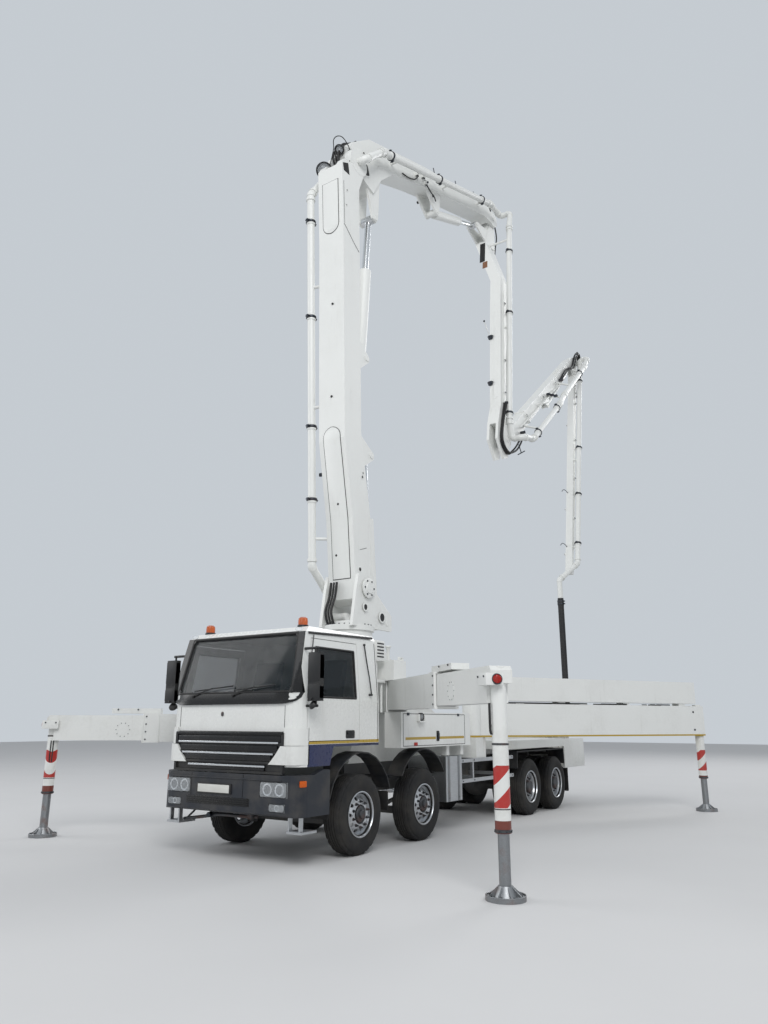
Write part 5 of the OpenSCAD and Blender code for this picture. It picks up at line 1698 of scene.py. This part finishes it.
@dataclass(frozen=True)
class BeamLine:
    """Line of an outrigger's beam in plan, from its pivot to its foot, as (across, along the truck)."""

    pivot: Pair
    foot: Pair

    def at(self, s: int, d: float, out: float, z: float) -> Matrix:
        """Matrix beside the line, X outboard along it and Z off the beam's outer face.

        Args:
            s: 1 on the left and -1 on the right.
            d: Distance from the pivot.
            out: Distance off the line.
            z: Height.

        Returns:
            The matrix.
        """
        dx, dy = self.foot[0] - self.pivot[0], self.foot[1] - self.pivot[1]
        size = math.hypot(dx, dy)
        ux, uy = dx / size, dy / size
        origin = place(s * (self.pivot[0] + ux * d + uy * out), self.pivot[1] + uy * d - ux * out, z)
        return axes(origin, Vector((s * ux, uy, 0.0)), Vector(UPWARD), Vector((s * uy, -ux, 0.0)))


@dataclass
class Outriggers(SubAssembly):
    """Lamps, access covers, bolts and pads of the four outriggers."""

    front_line: BeamLine = BeamLine((1.15, 1.05), FRONT_FOOT)
    rear_line: BeamLine = BeamLine((1.0, 3.8), REAR_FOOT)
    levels: Pair = (2.16, 1.66)
    collars: Pair = (2.11, 2.3)
    ring_height: float = 0.645

    def front(self) -> None:
        """Dresses both front outriggers."""
        line = self.front_line
        for (side, s), level, collar in zip(SIDES, self.levels, self.collars):
            form = Form()
            lamp = line.at(s, 3.865, 0.0, level + 0.05)
            form.block((-0.24, -0.065, 0.127), (0.012, 0.065, 0.205), 0.01, 0, lamp)
            form.block((-0.002, -0.065, 0.0), (0.014, 0.065, 0.205), 0.006, 0, lamp)
            for x in (-0.2, -0.04):
                form.bar(lamp, (x, 0.03, 0.2), (x, 0.03, 0.214), 0.012, 2, 6)
            at = facing(lamp @ Vector((0.01, 0.0, 0.075)), lamp.to_3x3() @ Vector((1.0, 0.0, 0.3)))
            form.lathe([(0.0, 0.0), (0.055, 0.0), (0.06, 0.012), (0.054, 0.03), (0.05, 0.03), (0.046, 0.01)],
                       at, 2, 32)
            form.lathe([(0.048, 0.012), (0.046, 0.034), (0.03, 0.042), (0.0, 0.045)], at, 1, 32)
            cover = line.at(s, 2.62, 0.0, level - 0.03)
            form.lathe([(0.1, 0.127), (0.1, 0.1305), (0.118, 0.1305), (0.118, 0.127)], cover, 0,
                       48, closed=True)
            form.lathe([(0.0, 0.127), (0.0, 0.1302), (0.09, 0.1302), (0.093, 0.127)], cover, 0, 48)
            for dot in circle(10, 0.109):
                form.bar(cover, (*dot.xy, 0.129), (*dot.xy, 0.1315), 0.008, 2, 6)
            self.add(f"front_leg_fittings_{side}", form, f"front_leg_{side}", "white_paint",
                     "red_lens", "gun_metal")
            form = Form()
            rim = line.at(s, collar, 0.0, level)
            for y in (-0.18, -0.06, 0.06, 0.18):
                for z in (0.162, -0.162):
                    sign = 1 if z > 0 else -1
                    form.bar(rim, (-0.05, y, z), (-0.05, y, z + sign * 0.01), 0.013, 1, 6)
            for z in (-0.165, 0.165):
                form.block((-0.012, -0.235, z - 0.004), (0.006, 0.235, z + 0.004), 0.002, 0, rim)
            form.block((-0.012, -0.24, -0.16), (0.006, -0.232, 0.16), 0.002, 0, rim)
            for x in (0.1, 0.42):
                form.bar(rim, (x, 0.29, 0.128), (x, 0.29, 0.136), 0.014, 1, 6)
            self.add(f"front_beam_fittings_{side}", form, f"front_beam_{side}", "white_paint", "gun_metal")
            centre = place(s * line.foot[0], line.foot[1], 0.0)
            self.pad(f"front_foot_{side}", centre)
            form, band = Form(), Matrix.Translation(centre)
            for z0, z1, r in ((self.ring_height, 0.68, 0.0935), (1.52, 1.545, 0.0915), (0.87, 0.885, 0.089)):
                form.lathe([(0.084, z0), (r, z0 + 0.004), (r, z1 - 0.004), (0.084, z1)], band, 0, 48)
            for near, far in zip(circle(8, 0.09), circle(8, 0.099)):
                form.bar(band, (*near.xy, 0.66), (*far.xy, 0.66), 0.008, 1, 6)
            way = line.at(s, 3.7356, 0.0, 0.0).to_3x3()
            for turn, reach in ((0.0, 0.106), (-0.35, 0.108)):
                off = way @ Vector((math.sin(turn), 0.0, math.cos(turn))) * reach
                form.sweep([centre + off * k + Vector((0, 0, level - z))
                            for k, z in ((1.0, 0.2), (1.0, 0.3), (1.0, 0.42), (0.97, 0.5), (0.86, 0.53))],
                           0.009, 2, 8)
            self.add(f"front_leg_bands_{side}", form, f"front_leg_{side}", "dark_steel",
                     "gun_metal", "hose_rubber")

    def pad(self, body: str, centre: Vector) -> None:
        """Rim, ribs and bolts of a support pad.

        Args:
            body: The foot that it belongs to.
            centre: Middle of the pad on the ground.
        """
        form = Form()
        at = Matrix.Translation(centre)
        form.lathe([(0.2, 0.038), (0.21, 0.038), (0.212, 0.05), (0.206, 0.056), (0.198, 0.05)], at, 0, 56)
        for way in circle(8):
            side = Vector((-way.y, way.x, 0.0)) * 0.006
            points = [(0.1, 0.05), (0.19, 0.042), (0.128, 0.09), (0.085, 0.128)]
            left, right = ([form.bm.verts.new(at @ (way * r + side * sign + Vector((0, 0, z))))
                            for r, z in points]
                           for sign in (1, -1))
            form.bm.faces.new(left)
            form.bm.faces.new(list(reversed(right)))
            for j in range(4):
                n = (j + 1) % 4
                form.bm.faces.new((left[j], left[n], right[n], right[j]))
            form.tube(at @ (way * 0.165 + side * 5 + Vector((0, 0, 0.038))),
                      at @ (way * 0.165 + side * 5 + Vector((0, 0, 0.054))), 0.011, 1, 6)
        self.add(f"{body}_pad", form, body, "worn_steel", "gun_metal")

    def rear(self) -> None:
        """Gap lines, end plates and pads of both rear outriggers."""
        line = self.rear_line
        for side, s in SIDES:
            form = Form()
            for sign in (1, -1):
                face = line.at(s, 0.0, 0.12 * sign, 0.0)
                for start, end in ((0.2, 2.57), (2.92, 3.58), (4.19, 4.32), (4.36, 4.72)):
                    form.block((start, 2.105, -0.004), (end, 2.128, 0.004), 0.0, 1, face)
                for d in (0.9, 2.4, 3.9, 5.1):
                    low, high = sorted((0.0, sign * 0.006))
                    form.block((d, 2.095, low), (d + 0.18, 2.105, high), 0.002, 0, face)
                for d, z in ((0.35, 2.3), (0.35, 1.7), (5.35, 1.62), (5.35, 1.98)):
                    form.bar(face, (d, z, -0.002 * sign), (d, z, 0.009 * sign), 0.02, 2, 20)
            self.add(f"rear_beam_fittings_{side}", form, f"rear_beam_{side}", "white_paint",
                     "seal_rubber", "gun_metal")
            centre = place(s * line.foot[0], line.foot[1], 0.0)
            self.pad(f"rear_foot_{side}", centre)
            form = Form()
            form.lathe([(0.084, self.ring_height), (0.0935, 0.649), (0.0935, 0.676), (0.084, 0.68)],
                       Matrix.Translation(centre), 0, 48)
            self.add(f"rear_leg_bands_{side}", form, f"rear_beam_{side}", "dark_steel")


@dataclass
class Body(SubAssembly):
    """Lamps, latches, straps, mudflaps and fittings of the chassis and its boxes."""

    outer: float = 1.25
    box_end: float = 3.03
    strap: float = 0.03
    hopper_side: float = 0.85
    hopper_rim: float = 1.47
    ring: tuple[float, int] = (0.405, 28)

    def boxes(self) -> None:
        """Side boxes with door seams, latch, lamp and reflector."""
        for side, s, start in (("left", 1, 0.975), ("right", -1, 1.62)):
            form, lens = Form(), Form()

            def on(y: float, z: float) -> Matrix:
                """Matrix on the outer face of the box."""
                return facing(place(s * self.outer, y, z), (s, 0, 0))

            half = (self.box_end - start - 0.06) / 2
            for y in (start + 0.06, self.box_end):
                form.block((-0.004, -0.24, -0.003), (0.004, 0.24, 0.003), 0.0, 1, on(y, 1.645))
            for z in (1.405, 1.885):
                form.block((-half, -0.004, -0.003), (half, 0.004, 0.003), 0.0, 1, on((start + 3.09) / 2, z))
            form.prism(rounded(0.075, 0.16, 0.015), 0.012, on(2.09, 1.545), 1, 0.003)
            form.block((-0.022, -0.055, 0.01), (0.022, 0.04, 0.03), 0.006, 2, on(2.09, 1.55))
            for y in (start + 0.2, 2.8):
                form.block((-0.03, -0.02, 0.0), (0.03, 0.02, 0.012), 0.003, 2, on(y, 1.88))
            if s > 0:
                lamp = on(1.52, 1.84)
                form.lathe([(0.05, 0.0), (0.062, 0.0), (0.062, 0.05), (0.054, 0.056), (0.05, 0.05)], lamp, 1,
                           32, closed=True)
                form.block((-0.085, -0.085, 0.0), (0.085, -0.062, 0.07), 0.008, 0, lamp)
                form.block((-0.085, -0.085, 0.0), (-0.07, 0.04, 0.06), 0.004, 0, lamp)
                form.block((0.07, -0.085, 0.0), (0.085, 0.04, 0.06), 0.004, 0, lamp)
                lens.lathe([(0.052, 0.01), (0.05, 0.045), (0.03, 0.055), (0.0, 0.058)], lamp, 0, 32)
            lens.prism(rounded(0.1, 0.045, 0.008), 0.008, on(1.4 if s > 0 else 1.8, 1.432), 1, 0.002)
            self.add(f"box_fittings_{side}", form, "root", "white_paint", "seal_rubber", "gun_metal")
            self.add(f"box_lenses_{side}", lens, "root", "clear_lens", "red_lens")

    def tanks(self) -> None:
        """Straps, caps and treads of the tanks, guard ends and bolts."""
        for side, s in SIDES:
            form = Form()
            for y in (2.5, 2.84):
                form.span((s * 0.62, y - self.strap, 1.205), (s * 1.226, y + self.strap, 1.216), 0.003, 0)
                form.span((s * 1.218, y - self.strap, 0.5), (s * 1.228, y + self.strap, 1.212), 0.003, 0)
                form.tube(place(s * 1.23, y, 0.56), place(s * 1.24, y, 0.56), 0.014, 0, 6)
            form.tube(place(s * 1.05, 2.67, 1.2), place(s * 1.05, 2.67, 1.255), 0.06, 1, 32, bevel=0.008)
            for k in range(6):
                form.span((s * 0.99, -1.28 + 0.045 * k, 0.428),
                          (s * 1.21, -1.262 + 0.045 * k, 0.436), 0.003, 0)
            for z in (0.79, 1.12):
                for y in (3.0, 3.42, 4.72, 5.0):
                    form.tube(place(s * 1.219, y, z), place(s * 1.228, y, z), 0.012, 1, 6)
            self.add(f"tank_fittings_{side}", form, "root", "worn_steel", "gun_metal")

    def rear(self) -> None:
        """Mudflaps, rear lamps and the hopper's rim, ribs and side covers."""
        for side, s in SIDES:
            form, lens = Form(), Form()
            for y in (-0.78, 0.66):
                form.prism(rounded(0.3, 0.26, 0.02), 0.012,
                           facing(place(s * 1.07, y + (0.02 if y < 0 else -0.01), 0.66), BACK), 0, 0.003)
            form.prism(rounded(0.62, 0.5, 0.02), 0.012, facing(place(s * 0.92, 7.88, 0.56), BACK), 0, 0.003)
            form.tube(place(s * 0.6, 7.885, 0.79), place(s * 1.22, 7.885, 0.79), 0.014, 1, 10)
            form.span((s * 0.95, 8.95, 0.84), (s * 1.245, 8.975, 1.06), 0.008, 1)
            for k, slot in enumerate((0, 0, 1)):
                x0 = s * (0.97 + 0.09 * k)
                lens.span((x0, 8.97, 0.87), (x0 + s * 0.08, 8.99, 1.03), 0.008, slot)
            self.add(f"rear_fittings_{side}", form, "root", "seal_rubber", "gun_metal")
            self.add(f"rear_lenses_{side}", lens, "root", "red_lens", "amber_lens")
        form = Form()
        half, y0, y1 = self.hopper_side, 7.74, 9.1
        corners = ((-half, y0), (half, y0), (half, y1), (-half, y1), (-half, y0))
        for a, b in zip(corners, corners[1:]):
            form.sweep([place(a[0] + (b[0] - a[0]) * t, a[1] + (b[1] - a[1]) * t, self.hopper_rim)
                        for t in (0.0, 0.5, 1.0)], 0.022, 0, 10)
        for s in (1, -1):
            for y in (8.0, 8.4, 8.8):
                form.span((s * half, y - 0.02, 0.95), (s * 0.875, y + 0.02, self.hopper_rim), 0.004, 0)
            form.tube(place(s * 0.845, 8.4, 1.0), place(s * 0.9, 8.4, 1.0), 0.1, 1, 32, bevel=0.008)
            for k in range(6):
                a = math.pi * k / 3
                form.tube(place(s * 0.9, 8.4 + 0.075 * math.cos(a), 1.0 + 0.075 * math.sin(a)),
                          place(s * 0.912, 8.4 + 0.075 * math.cos(a), 1.0 + 0.075 * math.sin(a)), 0.01, 1, 6)
        self.add("hopper_fittings", form, "root", "hopper_paint", "gun_metal")

    def turret(self) -> None:
        """Bosses, ring bolts and hoses of the turret."""
        form = Form()
        for s in (1, -1):
            x = s * 0.375
            at = facing(place(x, 1.32, 3.95), (s, 0, 0))
            form.lathe([(0.0, 0.0), (0.16, 0.0), (0.17, 0.006), (0.17, 0.026), (0.15, 0.034),
                        (0.1, 0.034), (0.09, 0.05), (0.0, 0.052)], at, 0, 40)
            for dot in circle(6, 0.13):
                form.bar(at, (*dot.xy, 0.03), (*dot.xy, 0.046), 0.015, 1, 6)
            for y, z, r in ((1.25, 3.62, 0.05), (1.75, 3.5, 0.07)):
                form.lathe([(r, -0.002), (r + 0.022, -0.002), (r + 0.022, 0.01), (r, 0.01)],
                           facing(place(x, y, z), (s, 0, 0)), 0, 32, closed=True)
                form.lathe([(0.0, -0.002), (r, -0.002), (r, 0.003), (0.0, 0.003)],
                           facing(place(x, y, z), (s, 0, 0)), 2, 32)
        radius, count = self.ring
        for k in range(count):
            a = 2 * math.pi * k / count
            spot = place(radius * math.cos(a), 1.3 + radius * math.sin(a), 3.318)
            if abs(spot.x) < 0.27 or abs(spot.x) > 0.39:
                form.tube(spot, spot + Vector((0, 0, 0.02)), 0.014, 1, 6)
        for x, r in ((-0.2, 0.022), (-0.14, 0.018), (-0.08, 0.022)):
            form.sweep(places((x, 0.98, 3.32), (x - 0.02, 0.93, 3.55), (x, 1.0, 3.8), (x + 0.02, 1.02, 4.05)),
                       r, 2, 10)
        self.add("turret_fittings", form, "turret", "boom_paint", "gun_metal", "hose_rubber")


@dataclass(frozen=True)
class SoftLamp:
    """Round area lamp of the studio."""

    name: str
    at: Triple
    aim: Triple
    size: float
    power: float

    def build(self) -> None:
        """Hangs the lamp in the scene."""
        data = bpy.data.lights.new(self.name, "AREA")
        data.shape, data.size, data.energy = "DISK", self.size, self.power
        lamp = bpy.data.objects.new(self.name, data)
        bpy.context.scene.collection.objects.link(lamp)
        lamp.matrix_world = facing(Vector(self.at), Vector(self.at) - Vector(self.aim))


@dataclass
class Studio:
    """Pale floor and backdrop, soft lamps and the camera."""

    shade: float = 0.6
    half_floor: float = 60.0
    sensor: float = 36.0
    lens_share: float = 764.2 / 1024
    eye: Triple = (7.72267, -9.22460, 1.75341)
    yaw: float = 0.58756150
    pitch: float = 0.26875951
    roll: float = 0.00217798
    ambient: Shade = (0.83, 0.87, 0.92, 1.0)
    ambient_power: float = 0.62
    backdrop: Shade = (0.56, 0.6, 0.64, 1.0)
    lamps: tuple[SoftLamp, ...] = (
        SoftLamp("key", (16.0, -22.0, 20.0), (0.0, 0.0, 5.0), 14.0, 3900.0),
        SoftLamp("fill", (-20.0, -16.0, 14.0), (0.0, 0.0, 4.0), 16.0, 1700.0),
        SoftLamp("rim", (4.0, 24.0, 22.0), (0.0, 0.0, 5.0), 14.0, 2500.0),
    )

    def camera(self) -> None:
        """Puts the camera where the photograph was taken from."""
        data = bpy.data.cameras.new("view")
        data.sensor_fit = "VERTICAL"
        data.sensor_height = self.sensor
        data.lens = self.sensor * self.lens_share
        data.clip_end = 300.0
        camera = bpy.data.objects.new("view", data)
        bpy.context.scene.collection.objects.link(camera)
        yaw, pitch, roll = self.yaw, self.pitch, self.roll
        ahead = Vector((-math.sin(yaw) * math.cos(pitch), math.cos(yaw) * math.cos(pitch), math.sin(pitch)))
        right = Vector((math.cos(yaw), math.sin(yaw), 0.0))
        up = right.cross(ahead)
        level = right * math.cos(roll) + up * math.sin(roll)
        tall = up * math.cos(roll) - right * math.sin(roll)
        camera.matrix_world = axes(place(*self.eye), level, tall, -ahead)
        bpy.context.scene.camera = camera

    def floor(self) -> None:
        """Lays the floor."""
        form = Form()
        form.block((-self.half_floor, -self.half_floor, -0.05), (self.half_floor, self.half_floor, 0.0), 0.0)
        mesh = form.mesh("studio_floor")
        mesh.materials.append(StagePaint("floor_paint", self.shade).build())
        floor = bpy.data.objects.new("studio_floor", mesh)
        bpy.context.scene.collection.objects.link(floor)

    def world(self) -> None:
        """Lights the scene evenly and shows a plainer tone where the backdrop itself is seen."""
        bpy.context.scene.world = bpy.data.worlds.new("studio")
        graph = Graph(bpy.context.scene.world, "ShaderNodeOutputWorld")
        camera, glossy, through = (graph.node("ShaderNodeLightPath", result=f"Is {kind} Ray")
                                   for kind in ("Camera", "Glossy", "Transmission"))
        lit, shown = (graph.node("ShaderNodeBackground", {}, {0: tone, 1: power})
                      for tone, power in ((self.ambient, self.ambient_power), (self.backdrop, 1.0)))
        seen = camera.at_least(glossy).at_least(through)
        graph.finish(graph.node("ShaderNodeMixShader", {}, {0: seen, 1: lit, 2: shown}))

    def build(self) -> None:
        """Makes the floor, the lamps and the world."""
        self.floor()
        for lamp in self.lamps:
            lamp.build()
        self.world()


PAIR_FINISH = {
    "door": "door_paint", "door_glass": "window_glass", "knuckle_1": "frame_paint",
    "knuckle_2": "frame_paint", "front_beam": "white_paint", "front_leg": "leg_paint",
    "front_foot": "worn_steel", "rear_beam": "rear_beam_paint", "rear_foot": "worn_steel",
    **{f"wheel_{k}": "tyre_rubber" for k in range(1, 5)},
}
NODE_FINISH = {
    "chassis_frame": "frame_paint", "axles": "frame_paint", "engine_block": "engine_paint",
    "cab_shell": "cab_paint", "cab_glass": "window_glass", "cab_interior": "seat_cloth",
    "front_bumper": "bumper_plastic", "cab_trim": "black_plastic", "lamps": "clear_lens",
    "wheel_arches": "arch_plastic", "body_boxes": "box_paint", "pedestal": "white_paint",
    "tanks_and_guards": "tank_alloy", "hopper": "hopper_paint", "pump_unit": "dark_steel",
    "turret": "boom_paint", "end_hose": "hose_rubber", "hopper_grate": "worn_steel", "agitator": "worn_steel",
    **{f"arm_{k}": "boom_paint" for k in range(1, 6)},
    **{f"barrel_{k}": "boom_paint" for k in range(1, 6)},
    **{f"rod_{k}": "bright_rod" for k in range(1, 6)},
    **{f"{name}_{side}": finish for name, finish in PAIR_FINISH.items() for side, _ in SIDES},
}


def main() -> None:
    """Builds the dressed truck."""
    logging.basicConfig(level=logging.INFO, format="%(message)s")
    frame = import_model()
    bpy.context.scene.view_settings.view_transform = "Standard"
    studio = Studio()
    studio.camera()
    studio.build()
    maker = Maker(Finishes())
    for node in frame["nodes"]:
        maker.cad(node, NODE_FINISH[node])
    cab, boom, legs, body = Cab(maker), Boom(maker), Outriggers(maker), Body(maker)
    for step in (
        RoadWheel(maker).build, cab.screen, cab.grille, cab.panels, cab.lamps, cab.mirrors, cab.bumper,
        cab.rear, cab.sides, boom.covers, boom.lamps, boom.couplings, boom.fittings, boom.hoses,
        boom.end_hose, legs.front, legs.rear, body.boxes, body.tanks, body.rear, body.turret,
    ):
        step()
        LOG.info("%s done, %d pieces so far", step.__qualname__, maker.count)


if __name__ == "__main__":
    main()
